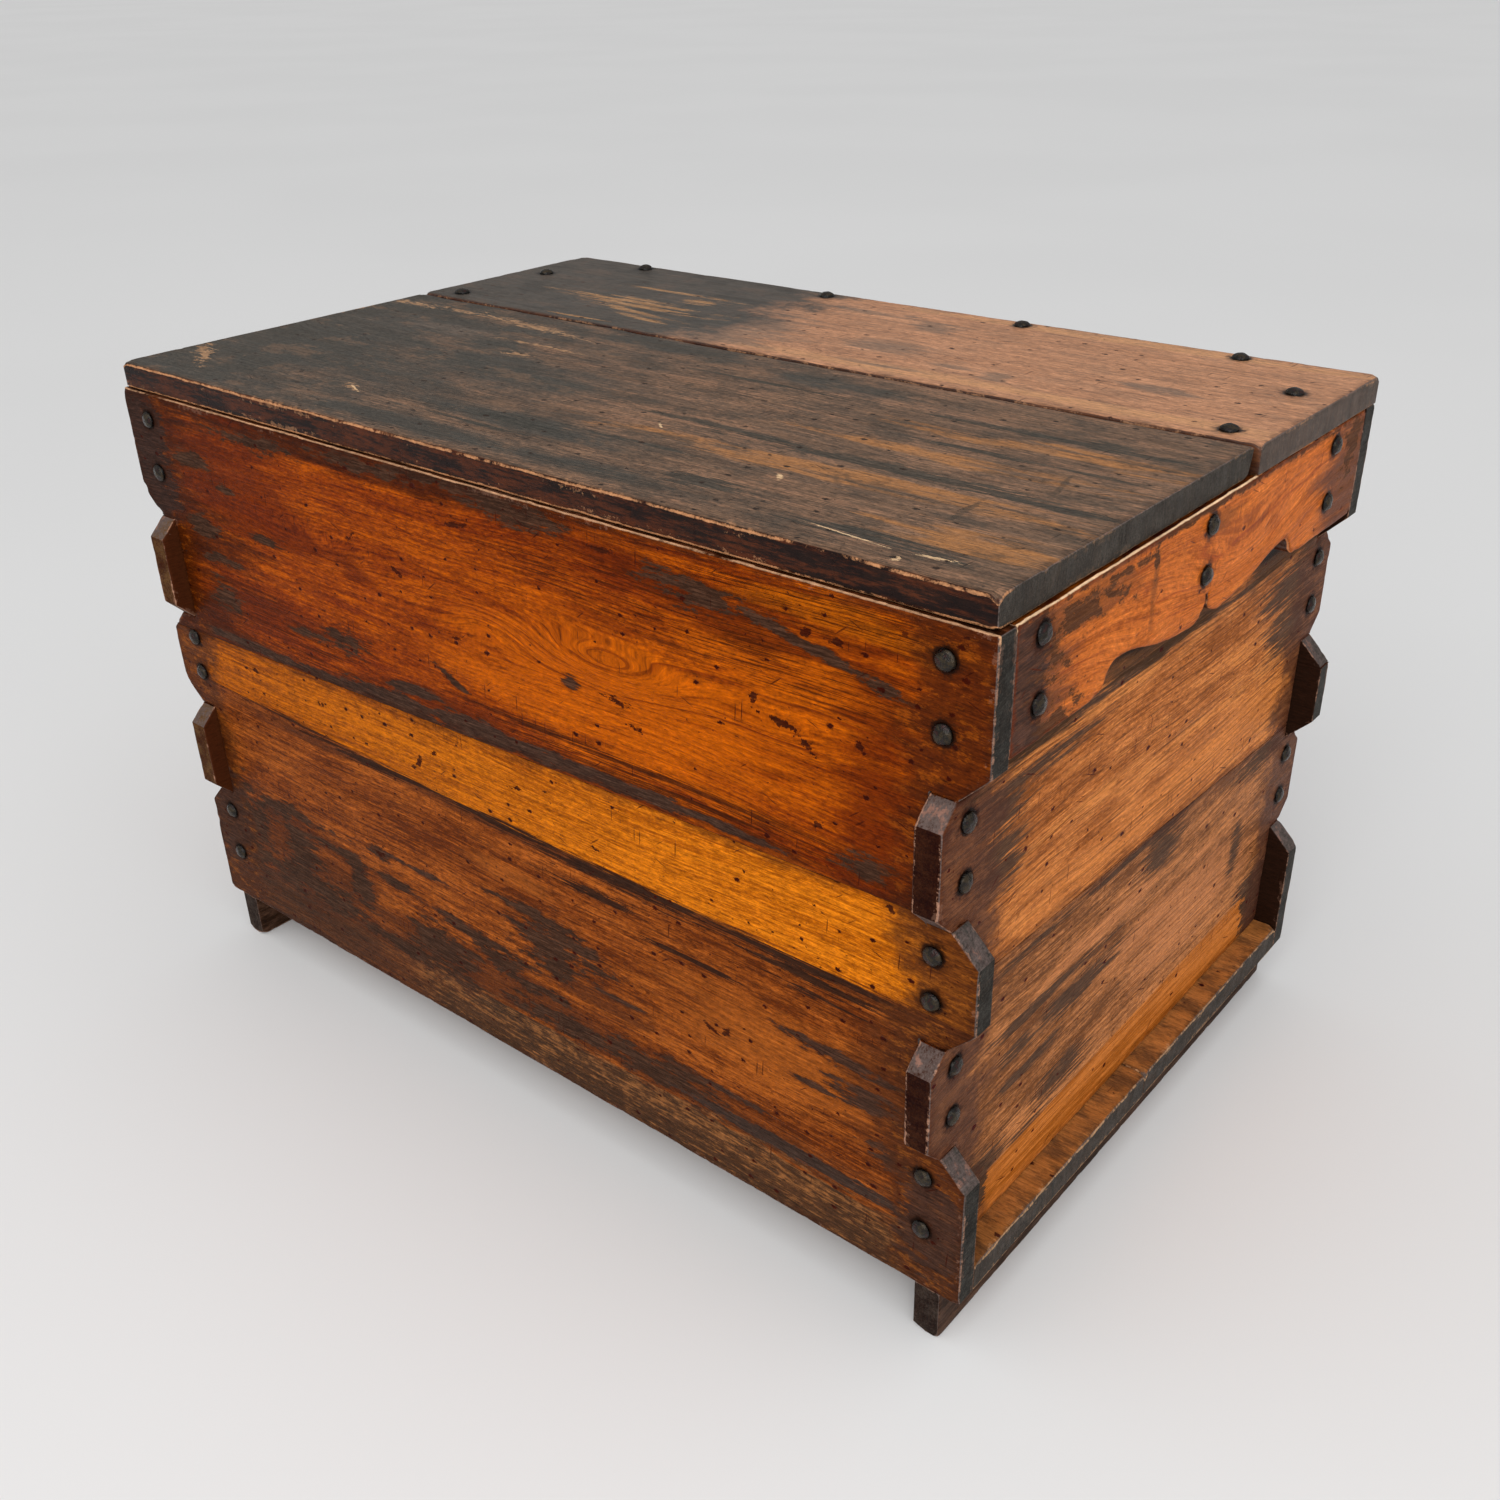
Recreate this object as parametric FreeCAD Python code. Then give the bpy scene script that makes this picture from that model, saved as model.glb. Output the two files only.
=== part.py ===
import FreeCAD, Part
import math
import os

# Ship chest of thick planks. The walls interlock at the corners with projecting
# ears, the top is a fixed rear board and a loose lid board whose two cleats reach
# under the fixed board as tongues. X runs along the chest, -Y is its front,
# +Z is up. The origin is the centre of the footprint on the ground.

# --- Driving dimensions, millimetres ---------------------------------------

# Carcass
wall_length = 866.0          # outer face to outer face of the end walls
wall_depth = 583.0           # front face to back face
wall_height = 531.5          # underside of the front wall to its rim
side_thickness = 20.0        # front and back walls
end_thickness = 21.0         # end walls
side_ear = 21.5              # ears of the front and back walls, past the end walls
end_ear = 16.0               # ears of the end walls, past the front and back walls
lowest_ear_height = 129.0    # underside to the first notch
ear_pitch = 96.0             # height of each ear above it

# Plank seams, heights above the underside at the two ends of each seam
front_seam_left = 305.0
front_seam_right = 326.5
back_seam_left = 318.0
back_seam_right = 300.0
end_seam_front = 266.5
end_seam_rear = 237.0

# Floor and runners
floor_thickness = 24.0
floor_seam_y = -2.0          # seam between the two floor boards
runner_height = 47.5
runner_width = 22.5
runner_outset = 4.5          # outer side of a runner past the end wall's outer face
runner_setback = 1.5         # runner ends behind the front and back faces

# End battens
batten_height = 88.0
scallop_centre_y = -5.0
slit_half_width = 1.5
slit_top = 18.5
# Half of the batten's lower edge, as (distance from its centre, height above its
# foot). Each arc runs through three of the points and ends where the next starts.
scallop_arcs = [
    (slit_half_width, 10.5), (10.0, 3.6), (30.0, 1.2),
    (62.0, 4.2), (92.0, 11.2),
    (112.0, 16.2), (134.0, 18.6),
    (142.0, 16.6), (148.0, 10.5),
    (153.5, 3.0), (165.0, 0.0),
]

# Top
top_thickness = 23.0         # fixed rear board
top_edge_radius = 2.0        # worn front edge of the fixed board
seam_gap = 4.0               # between the fixed board and the lid board
fixed_board_depth = 233.0
lid_rest_gap = 0.8           # lid board above the rim
lid_front_setback = 3.5
lid_end_setback = 3.5
lid_edge_radius = 5.0        # round rear top edge, on which the lid turns
lid_rear_relief = 7.0        # how far the lid's rear edge draws in at its bottom
lid_front_radius = 3.0

# Lid cleats
cleat_width = 36.0
cleat_height = 26.0
cleat_side_gap = 8.0         # to the end wall
cleat_front_gap = 10.0       # to the front wall
tongue_length = 30.0         # reach under the fixed board
tongue_clearance = 0.5

# Dome-head nails
head_radius = 7.6
head_height = 4.5
shank_radius = 2.0
shank_tip = 7.0
hole_clearance = 0.1
wall_nail_length = 45.0
batten_nail_length = 34.0
top_nail_length = 60.0
nail_inset = 13.0            # from an outer face to the nails in the wall behind it

# Nail heights in each ear, above the foot of that ear
side_top_nails = [42.5, 91.0]
side_middle_nails = [36.0, 72.5]
side_bottom_nails = [56.5, 106.0]
end_ear_nails = [32.0, 76.0]

# Batten nails: columns from the batten's ends and middle, rows below the rim
batten_nail_front_inset = 30.5
batten_nail_middle_y = -12.0
batten_nail_rear_inset = 59.5
batten_nail_upper_drop = 15.5
batten_nail_lower_drop = 62.0
batten_nail_middle_drop = 53.0

# Fixed top board nails
top_row_xs = [-346.0, -97.0, 129.0, 341.0]
top_end_nail_front_inset = 21.5   # behind the board's front edge
top_end_nail_rear_inset = 91.5    # in front of its rear edge

# Flat-head nails, driven up through the runners and up through the cleats
flat_head_radius = 5.0
flat_head_height = 2.0
sink_depth = 6.0             # runner nails are sunk this deep
sink_clearance = 1.0
runner_nail_grip = 30.0      # how far they reach into the end wall
runner_nail_ys = [-210.0, -70.0, 70.0, 210.0]
cleat_nail_grip = 14.0       # how far the cleat nails reach into the lid board
cleat_nail_insets = [31.5, 121.5, 211.5, 286.5]   # behind a cleat's front end

# --- Places worked out from the dimensions ----------------------------------

half_length = wall_length / 2.0
half_depth = wall_depth / 2.0
inner_half_length = half_length - end_thickness
inner_half_depth = half_depth - side_thickness
ear_end_x = half_length + side_ear
ear_end_y = half_depth + end_ear

underside = runner_height
floor_top = underside + floor_thickness
rim = underside + wall_height
notch_1 = underside + lowest_ear_height
notch_2 = notch_1 + ear_pitch
notch_3 = notch_2 + ear_pitch
notch_4 = notch_3 + ear_pitch

batten_foot = rim - batten_height

top_face = rim + top_thickness
fixed_front_y = half_depth - fixed_board_depth
lid_rear_y = fixed_front_y - seam_gap
lid_front_y = -half_depth + lid_front_setback
lid_half_length = ear_end_x - lid_end_setback
lid_underside = rim + lid_rest_gap

cleat_outer_x = inner_half_length - cleat_side_gap
cleat_inner_x = cleat_outer_x - cleat_width
cleat_front_y = -inner_half_depth + cleat_front_gap
cleat_bottom = lid_underside - cleat_height
tongue_end_y = fixed_front_y + tongue_length

runner_outer_x = half_length + runner_outset
runner_inner_x = runner_outer_x - runner_width
runner_end_y = half_depth - runner_setback

wall_nail_x = half_length - nail_inset
wall_nail_y = half_depth - nail_inset
runner_nail_x = (max(runner_inner_x, inner_half_length) + half_length) / 2.0
cleat_nail_x = (cleat_inner_x + cleat_outer_x) / 2.0

side_nail_heights = (
    [underside + height for height in side_bottom_nails]
    + [notch_2 + height for height in side_middle_nails]
    + [notch_4 + height for height in side_top_nails]
)
end_nail_heights = (
    [notch_1 + height for height in end_ear_nails]
    + [notch_3 + height for height in end_ear_nails]
)

cutter_reach = 2.0 * (ear_end_x + ear_end_y + top_face)


# --- Shapes ------------------------------------------------------------------

def vector(x, y, z):
    return FreeCAD.Vector(x, y, z)


def box(low, high):
    """A box between two corners."""
    size = vector(*high) - vector(*low)
    return Part.makeBox(size.x, size.y, size.z, vector(*low))


def extrude_edges(edges, direction):
    return Part.Face(Part.Wire(edges)).extrude(direction)


def xz_slab(points, y_low, y_high):
    """A slab whose outline is given as (x, z) points."""
    corners = [vector(x, y_low, z) for x, z in points]
    outline = Part.makePolygon(corners + corners[:1])
    return Part.Face(outline).extrude(vector(0, y_high - y_low, 0))


def yz_slab(points, x_low, x_high):
    """A slab whose outline is given as (y, z) points."""
    corners = [vector(x_low, y, z) for y, z in points]
    outline = Part.makePolygon(corners + corners[:1])
    return Part.Face(outline).extrude(vector(x_high - x_low, 0, 0))


def both_halves(half):
    """A closed outline from its right half, listed upwards."""
    return half + [(-across, up) for across, up in reversed(half)]


def line(start, end, x):
    return Part.LineSegment(vector(x, *start), vector(x, *end)).toShape()


def arc(start, middle, end, x):
    return Part.Arc(vector(x, *start), vector(x, *middle), vector(x, *end)).toShape()


# --- Nails -------------------------------------------------------------------

def placed(shape, foot, direction):
    """Turns a shape made along +Z so that +Z lies along direction at foot."""
    turned = shape.copy()
    turned.Placement = FreeCAD.Placement(
        vector(*foot), FreeCAD.Rotation(vector(0, 0, 1), vector(*direction)))
    return turned


def dome_nail(length):
    """A nail with its head's flat side at z = 0 and its shank pointing down."""
    rise = math.sqrt(0.5)
    sphere_radius = (head_radius ** 2 + head_height ** 2) / (2.0 * head_height)
    half_angle = math.asin(min(1.0, head_radius / sphere_radius)) / 2.0
    centre = head_height - sphere_radius
    crown = Part.Arc(
        vector(head_radius, 0, 0),
        vector(sphere_radius * math.sin(half_angle), 0,
               centre + sphere_radius * math.cos(half_angle)),
        vector(0, 0, head_height)).toShape()
    points = [
        vector(0, 0, head_height),
        vector(0, 0, -length),
        vector(shank_radius * rise, 0, -length + shank_tip * (1.0 - rise)),
        vector(shank_radius, 0, -length + shank_tip),
        vector(shank_radius, 0, 0),
        vector(head_radius, 0, 0),
    ]
    sides = Part.makePolygon(points).Edges
    profile = Part.Face(Part.Wire(sides + [crown]))
    return profile.revolve(vector(0, 0, 0), vector(0, 0, 1), 360)


def flat_nail(length):
    """A flat-head nail with its shank pointing up from z = 0."""
    head = Part.makeCylinder(flat_head_radius, flat_head_height, vector(0, 0, -flat_head_height))
    shank = Part.makeCylinder(shank_radius, length - shank_tip)
    tip = Part.makeCone(shank_radius, 0.0, shank_tip, vector(0, 0, length - shank_tip))
    return head.fuse([shank, tip]).removeSplitter()


class Nails:
    """A group of like nails, with the holes that they sit in."""

    def __init__(self, node, nail, hole, spots):
        self.node = node
        self.solids = [placed(nail, foot, direction) for foot, direction in spots]
        self.holes = [placed(hole, foot, direction) for foot, direction in spots]


def dome_nails(node, length, spots):
    hole = Part.makeCylinder(shank_radius + hole_clearance, length + hole_clearance,
                             vector(0, 0, 0), vector(0, 0, -1))
    return Nails(node, dome_nail(length), hole, spots)


def flat_nails(node, length, sunk, spots):
    hole = Part.makeCylinder(shank_radius + hole_clearance, length + hole_clearance)
    if sunk:
        well = Part.makeCylinder(flat_head_radius + sink_clearance, sunk, vector(0, 0, -sunk))
        hole = hole.fuse(well)
    return Nails(node, flat_nail(length), hole, spots)


def side_wall_nails(wall, side, facing, end):
    """The column of nails near one end of the front or back wall."""
    spots = [((end * wall_nail_x, facing * half_depth, z), (0, facing, 0))
             for z in side_nail_heights]
    return dome_nails("nails_%s_%s" % (wall, side), wall_nail_length, spots)


def end_wall_nails(side, end, row, facing):
    """The column of nails along the front or rear edge of an end wall."""
    spots = [((end * half_length, facing * wall_nail_y, z), (end, 0, 0))
             for z in end_nail_heights]
    return dome_nails("nails_end_%s_%s" % (side, row), wall_nail_length, spots)


def batten_nails(side, end):
    front_y = -inner_half_depth + batten_nail_front_inset
    rear_y = inner_half_depth - batten_nail_rear_inset
    rows = [
        (front_y, batten_nail_upper_drop),
        (front_y, batten_nail_lower_drop),
        (batten_nail_middle_y, batten_nail_upper_drop),
        (batten_nail_middle_y, batten_nail_middle_drop),
        (rear_y, batten_nail_upper_drop),
        (rear_y, batten_nail_lower_drop),
    ]
    spots = [((end * ear_end_x, y, rim - drop), (end, 0, 0)) for y, drop in rows]
    return dome_nails("nails_batten_%s" % side, batten_nail_length, spots)


def top_row_nails():
    spots = [((x, wall_nail_y, top_face), (0, 0, 1)) for x in top_row_xs]
    return dome_nails("nails_top_rear_row", top_nail_length, spots)


def top_end_nails(side, end):
    rows = (fixed_front_y + top_end_nail_front_inset, half_depth - top_end_nail_rear_inset)
    spots = [((end * wall_nail_x, y, top_face), (0, 0, 1)) for y in rows]
    return dome_nails("nails_top_%s" % side, top_nail_length, spots)


def runner_nails(side, end):
    length = runner_height - sink_depth + floor_thickness + runner_nail_grip
    spots = [((end * runner_nail_x, y, sink_depth), (0, 0, 1)) for y in runner_nail_ys]
    return flat_nails("nails_runner_%s" % side, length, sink_depth, spots)


def cleat_nails(side, end):
    length = cleat_height + cleat_nail_grip
    spots = [((end * cleat_nail_x, cleat_front_y + inset, cleat_bottom), (0, 0, 1))
             for inset in cleat_nail_insets]
    return flat_nails("nails_cleat_%s" % side, length, 0.0, spots)


# --- Walls -------------------------------------------------------------------

def side_wall_outline():
    """Front or back wall, its right half from the bottom up, as (x, z)."""
    end, face, inner = ear_end_x, half_length, inner_half_length
    return both_halves([
        (end, underside), (end, notch_1 - side_ear), (face, notch_1),
        (inner, notch_1), (inner, notch_2),
        (face, notch_2), (end, notch_2 + side_ear),
        (end, notch_3 - side_ear), (face, notch_3),
        (inner, notch_3), (inner, notch_4),
        (face, notch_4), (end, notch_4 + side_ear), (end, rim),
    ])


def end_wall_outline():
    """End wall, its rear half from the bottom up, as (y, z)."""
    end, face, inner = ear_end_y, half_depth, inner_half_depth
    return both_halves([
        (inner, floor_top), (inner, notch_1),
        (face, notch_1), (end, notch_1 + end_ear),
        (end, notch_2 - end_ear), (face, notch_2),
        (inner, notch_2), (inner, notch_3),
        (face, notch_3), (end, notch_3 + end_ear),
        (end, notch_4 - end_ear), (face, notch_4),
        (inner, notch_4), (inner, rim),
    ])


def above_seam(low_end, low_height, high_end, high_height):
    """Outline of everything above a straight seam through two points."""
    slope = (high_height - low_height) / (high_end - low_end)
    reach = cutter_reach
    left = low_height + slope * (-reach - low_end)
    right = low_height + slope * (reach - low_end)
    return [(-reach, left), (reach, right), (reach, reach), (-reach, reach)]


def side_wall(wall, facing, seam_left, seam_right):
    """The two planks of the front or back wall."""
    outer = facing * half_depth
    inner = facing * inner_half_depth
    slab = xz_slab(side_wall_outline(), min(outer, inner), max(outer, inner))
    seam = above_seam(-half_length, underside + seam_left, half_length, underside + seam_right)
    upper_space = xz_slab(seam, -cutter_reach, cutter_reach)
    return {
        wall + "_plank_upper": slab.common(upper_space),
        wall + "_plank_lower": slab.cut(upper_space),
    }


def end_wall(side, end):
    """The two planks of an end wall."""
    outer = end * half_length
    inner = end * inner_half_length
    slab = yz_slab(end_wall_outline(), min(outer, inner), max(outer, inner))
    seam = above_seam(-half_depth, underside + end_seam_front,
                      half_depth, underside + end_seam_rear)
    upper_space = yz_slab(seam, -cutter_reach, cutter_reach)
    name = "end_%s_plank_" % side
    return {
        name + "upper": slab.common(upper_space),
        name + "lower": slab.cut(upper_space),
    }


# --- Floor, runners and battens ----------------------------------------------

def floor_boards():
    return {
        "floor_board_front": box((-ear_end_x, -inner_half_depth, underside),
                                 (ear_end_x, floor_seam_y, floor_top)),
        "floor_board_rear": box((-ear_end_x, floor_seam_y, underside),
                                (ear_end_x, inner_half_depth, floor_top)),
    }


def runner(end):
    sides = sorted((end * runner_inner_x, end * runner_outer_x))
    return box((sides[0], -runner_end_y, 0.0), (sides[1], runner_end_y, underside))


def scallop_edges(side, x):
    """One half of the batten's lower edge, from the slit outwards."""
    points = [(scallop_centre_y + side * across, batten_foot + up) for across, up in scallop_arcs]
    return [arc(points[i], points[i + 1], points[i + 2], x) for i in range(0, len(points) - 2, 2)]


def end_batten(end):
    """The batten between the top ears, with its scalloped lower edge."""
    x = end * half_length
    slit_foot = batten_foot + scallop_arcs[0][1]
    slit_head = batten_foot + slit_top
    rear_flat = scallop_centre_y + scallop_arcs[-1][0]
    front_flat = scallop_centre_y - scallop_arcs[-1][0]
    slit_rear = scallop_centre_y + slit_half_width
    slit_front = scallop_centre_y - slit_half_width
    straight = [
        ((slit_front, slit_foot), (slit_front, slit_head)),
        ((slit_front, slit_head), (slit_rear, slit_head)),
        ((slit_rear, slit_head), (slit_rear, slit_foot)),
        ((rear_flat, batten_foot), (inner_half_depth, batten_foot)),
        ((inner_half_depth, batten_foot), (inner_half_depth, rim)),
        ((inner_half_depth, rim), (-inner_half_depth, rim)),
        ((-inner_half_depth, rim), (-inner_half_depth, batten_foot)),
        ((-inner_half_depth, batten_foot), (front_flat, batten_foot)),
    ]
    edges = [line(start, stop, x) for start, stop in straight]
    edges += scallop_edges(1, x) + scallop_edges(-1, x)
    ordered = Part.__sortEdges__(edges)
    return extrude_edges(ordered, vector(end * side_ear, 0, 0))


# --- Top ---------------------------------------------------------------------

def fixed_top_board():
    """The fixed rear board, with a worn front top edge."""
    x = -ear_end_x
    radius = top_edge_radius
    bend = radius * (1.0 - math.sqrt(0.5))
    front, rear = fixed_front_y, half_depth
    edges = [
        line((front, rim), (front, top_face - radius), x),
        arc((front, top_face - radius), (front + bend, top_face - bend),
            (front + radius, top_face), x),
        line((front + radius, top_face), (rear, top_face), x),
        line((rear, top_face), (rear, rim), x),
        line((rear, rim), (front, rim), x),
    ]
    return extrude_edges(edges, vector(2.0 * ear_end_x, 0, 0))


def lid_board():
    """The lid board. Its rear edge is round at the top and draws in below."""
    x = -lid_half_length
    front_bend = lid_front_radius * (1.0 - math.sqrt(0.5))
    rear_bend = lid_edge_radius * (1.0 - math.sqrt(0.5))
    turn_y = lid_rear_y - lid_edge_radius
    turn_z = top_face - lid_edge_radius
    foot_y = lid_rear_y - lid_rear_relief
    bulge = (lid_rear_y - lid_rear_relief / 4.0, (turn_z + lid_underside) / 2.0)
    edges = [
        line((foot_y, lid_underside), (lid_front_y, lid_underside), x),
        line((lid_front_y, lid_underside), (lid_front_y, top_face - lid_front_radius), x),
        arc((lid_front_y, top_face - lid_front_radius),
            (lid_front_y + front_bend, top_face - front_bend),
            (lid_front_y + lid_front_radius, top_face), x),
        line((lid_front_y + lid_front_radius, top_face), (turn_y, top_face), x),
        arc((turn_y, top_face), (lid_rear_y - rear_bend, top_face - rear_bend),
            (lid_rear_y, turn_z), x),
        arc((lid_rear_y, turn_z), bulge, (foot_y, lid_underside), x),
    ]
    return extrude_edges(edges, vector(2.0 * lid_half_length, 0, 0))


def lid_cleat(end):
    """A cleat under the lid board, with its rear tongue under the fixed board."""
    tongue_top = rim - tongue_clearance
    tongue_root_y = lid_rear_y - lid_rear_relief
    outline = [
        (cleat_front_y, cleat_bottom), (tongue_end_y, cleat_bottom),
        (tongue_end_y, tongue_top), (tongue_root_y, tongue_top),
        (tongue_root_y, lid_underside), (cleat_front_y, lid_underside),
    ]
    sides = sorted((end * cleat_inner_x, end * cleat_outer_x))
    return yz_slab(outline, sides[0], sides[1])


# --- Assembly ----------------------------------------------------------------

def wooden_parts():
    parts = {}
    parts.update(side_wall("front", -1, front_seam_left, front_seam_right))
    parts.update(side_wall("back", 1, back_seam_left, back_seam_right))
    parts.update(floor_boards())
    parts["top_board_fixed"] = fixed_top_board()
    parts["lid_board"] = lid_board()
    for side, end in (("left", -1), ("right", 1)):
        parts.update(end_wall(side, end))
        parts["runner_" + side] = runner(end)
        parts["end_batten_" + side] = end_batten(end)
        parts["lid_cleat_" + side] = lid_cleat(end)
    return parts


def nail_groups():
    groups = [top_row_nails()]
    for side, end in (("left", -1), ("right", 1)):
        groups.append(side_wall_nails("front", side, -1, end))
        groups.append(side_wall_nails("back", side, 1, end))
        groups.append(end_wall_nails(side, end, "front", -1))
        groups.append(end_wall_nails(side, end, "rear", 1))
        groups.append(batten_nails(side, end))
        groups.append(top_end_nails(side, end))
        groups.append(runner_nails(side, end))
        groups.append(cleat_nails(side, end))
    return groups


def drilled(shape, holes):
    """Cuts every nail hole that reaches the shape."""
    near = [hole for hole in holes if shape.BoundBox.intersect(hole.BoundBox)]
    return shape.cut(near) if near else shape


def main():
    os.makedirs("parts", exist_ok=True)
    groups = nail_groups()
    holes = [hole for group in groups for hole in group.holes]
    for name, shape in wooden_parts().items():
        drilled(shape, holes).exportStep("parts/%s.step" % name)
    for group in groups:
        Part.makeCompound(group.solids).exportStep("parts/%s.step" % group.node)


main()
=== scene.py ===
import math
import random
from functools import reduce
from typing import NamedTuple

import bmesh
import bpy
import numpy as np
from mathutils import Matrix, Vector, geometry, noise


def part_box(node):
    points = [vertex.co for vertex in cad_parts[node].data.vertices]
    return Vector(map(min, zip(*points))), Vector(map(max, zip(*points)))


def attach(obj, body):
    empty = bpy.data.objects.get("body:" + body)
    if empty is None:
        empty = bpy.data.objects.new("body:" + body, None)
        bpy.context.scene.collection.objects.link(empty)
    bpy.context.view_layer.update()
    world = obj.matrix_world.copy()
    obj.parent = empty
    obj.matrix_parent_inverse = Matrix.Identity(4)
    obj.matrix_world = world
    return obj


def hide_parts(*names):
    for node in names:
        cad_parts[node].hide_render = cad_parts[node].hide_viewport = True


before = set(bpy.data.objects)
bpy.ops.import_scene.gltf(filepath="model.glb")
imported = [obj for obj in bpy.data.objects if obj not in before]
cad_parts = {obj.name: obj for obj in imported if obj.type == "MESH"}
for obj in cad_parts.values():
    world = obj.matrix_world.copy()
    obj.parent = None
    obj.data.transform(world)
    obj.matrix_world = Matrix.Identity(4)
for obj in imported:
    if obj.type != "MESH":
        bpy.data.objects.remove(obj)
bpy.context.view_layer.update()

# The looks of an old ship chest: worn plank meshes with ragged edges, hammered nail
# heads and painted wood. Lengths are millimetres until a mesh is finished.

MM = 0.001
WELD = 1e-5                                  # corners this close are one, in metres
ACROSS = {0: (1, 2), 1: (0, 2), 2: (0, 1)}   # the two axes along a board's face

# --- Worn board meshes --------------------------------------------------------

OUTLINE_STEP = 2.6         # between the points along a board's edge
RING_DEPTHS = (0.6, 1.4, 2.4, 3.8, 6.0, 9.5)   # rows of points inside the edge
NAIL_RINGS = (8.2, 10.5, 14.0, 19.0)           # circles of points round a nail
NAIL_RING_POINTS = 14
COVER_RINGS = (0.5, 4.0, 9.0, 15.0, 22.0)      # rows of points beside a covering board
COVER_STEP = 5.0
GRID_STEP = 11.0           # between the points in the middle of a face
GRID_SHIFT = 0.25          # how far a grid point may stray, as a share of the step
GRID_CLEAR = 3.0           # between the grid and the other points
POINT_CELL = 0.4           # one mesh point at most in a square of this size
CORNER_FILLET = 1.3
FILLET_TURN = math.radians(25)    # an outline that turns more than this gets a fillet
STRAIGHT_TURN = 0.005             # and less than this, in radians, is straight
FACE_SAG = 0.22            # deepest hollow in a board's face
SAG_SIZE = 85.0            # width of such a hollow
SAG_EDGE = 14.0            # the hollows fade out this close to an edge
CHIPS = ((8.0, 0.15, 0), (26.0, 0.2, 5))   # size of nicks, the noise level they start at, seed
TIGHT = 0.45               # rounding along a joint that was planed flush
TIGHT_CHIPS = 0.25         # share of the nicks that such a joint has
DEEPEST_WEAR = 0.45        # share of a board's thickness
WIDTH_CHANGE = 0.45        # how much the rounding's width varies along an edge, as a share
WEAR_DROP = 0.85           # how far down a rounded edge goes, as a share of its width
GOUGE_RADII = (3.0, 8.0)
OPEN_BITE = 0.14           # how far an outline is nibbled
TIGHT_BITE = 0.06          # the same along a tight joint
DEEP_BITE = 0.35           # the largest bites out of an open edge
WALL_ROWS = (0.0, 0.12, 0.5, 0.88, 1.0)    # rows of points down a board's edge
FAR = 40.0                 # distances are kept up to this
SHARP_WOOD = math.radians(55)     # edges that turn more than this are shaded sharp
SHARP_IRON = math.radians(38)


class Wear(NamedTuple):
    """How far the edges of a board have worn, in millimetres."""

    width: float = 1.7         # typical rounding of an edge
    chips: float = 2.4         # extra width of the worst nicks
    sides: dict = {}           # own widths for the low_u, high_u, low_v and high_v sides
    gouges: int = 0            # number of larger nicks along the edges
    gouge_depth: float = 1.2

    def width_at(self, side):
        return self.sides.get(side, self.width)


class Outline:
    """Distances from a closed outline, and which of its sides is nearest."""

    def __init__(self, points):
        self.a = np.array(points)
        self.b = np.roll(self.a, -1, axis=0)
        self.run = self.b - self.a
        self.length = np.maximum(np.linalg.norm(self.run, axis=1), 1e-9)
        self.inward = np.stack([-self.run[:, 1], self.run[:, 0]], 1) / self.length[:, None]

    def distances(self, points):
        points = np.atleast_2d(points)
        offset = points[:, None, :] - self.a[None]
        share = np.clip((offset * self.run[None]).sum(2) / self.length ** 2, 0, 1)
        foot = self.a[None] + share[..., None] * self.run[None]
        return np.linalg.norm(points[:, None, :] - foot, axis=2)

    def nearest(self, points):
        """The distance and the inward direction of the nearest side."""
        gaps = self.distances(points)
        side = gaps.argmin(1)
        return gaps[np.arange(len(gaps)), side], self.inward[side]

    def holds(self, points):
        """Which of the points lie inside the outline."""
        points = np.atleast_2d(points)
        y = points[:, None, 1]
        spans = (self.a[None, :, 1] > y) != (self.b[None, :, 1] > y)
        rise = np.where(np.abs(self.run[:, 1]) < 1e-12, 1e-12, self.run[:, 1])
        cross = self.a[None, :, 0] + (y - self.a[None, :, 1]) / rise[None] * self.run[:, 0][None]
        return (spans & (points[:, None, 0] < cross)).sum(1) % 2 == 1

    def inner(self, points, clear):
        """Those of the points that lie inside, and further than this from the outline."""
        points = np.array(points)
        return points[(self.distances(points).min(1) > clear) & self.holds(points)]


def area(loop):
    return 0.5 * sum(a[0] * b[1] - b[0] * a[1] for a, b in zip(loop, loop[1:] + loop[:1]))


def welded(node):
    """A CAD node's mesh with its double corners joined. The caller frees it."""
    mesh = bmesh.new()
    mesh.from_mesh(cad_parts[node].data)
    bmesh.ops.remove_doubles(mesh, verts=mesh.verts[:], dist=WELD)
    return mesh


def chains(edges):
    """Closed loops of vertices out of loose edges."""
    links = {}
    for edge in edges:
        for here, there in (edge.verts, reversed(edge.verts)):
            links.setdefault(here, []).append(there)
    loops = []
    while links:
        start = next(iter(links))
        loop = [start]
        here = start
        while links.get(here):
            there = links[here].pop()
            links[there].remove(here)
            here = there
            if here is not start:
                loop.append(here)
        links = {vert: ends for vert, ends in links.items() if ends}
        loops.append(loop)
    return loops


def face_outline(node, axis, side):
    """The outer outline of a board's flat face as (u, v) points, anticlockwise."""
    u, v = ACROSS[axis]
    mesh = welded(node)
    level = side * max(side * vert.co[axis] for vert in mesh.verts)
    flat = {face for face in mesh.faces
            if all(abs(vert.co[axis] - level) < WELD for vert in face.verts)}
    rim = [edge for edge in mesh.edges if sum(face in flat for face in edge.link_faces) == 1]
    loops = [[(vert.co[u] / MM, vert.co[v] / MM) for vert in loop] for loop in chains(rim)]
    mesh.free()
    outline = max(loops, key=lambda loop: abs(area(loop)))
    return outline if area(outline) > 0 else outline[::-1]


def box_outline(node, axis):
    u, v = ACROSS[axis]
    low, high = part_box(node)
    return [(low[u] / MM, low[v] / MM), (high[u] / MM, low[v] / MM),
            (high[u] / MM, high[v] / MM), (low[u] / MM, high[v] / MM)]


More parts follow.
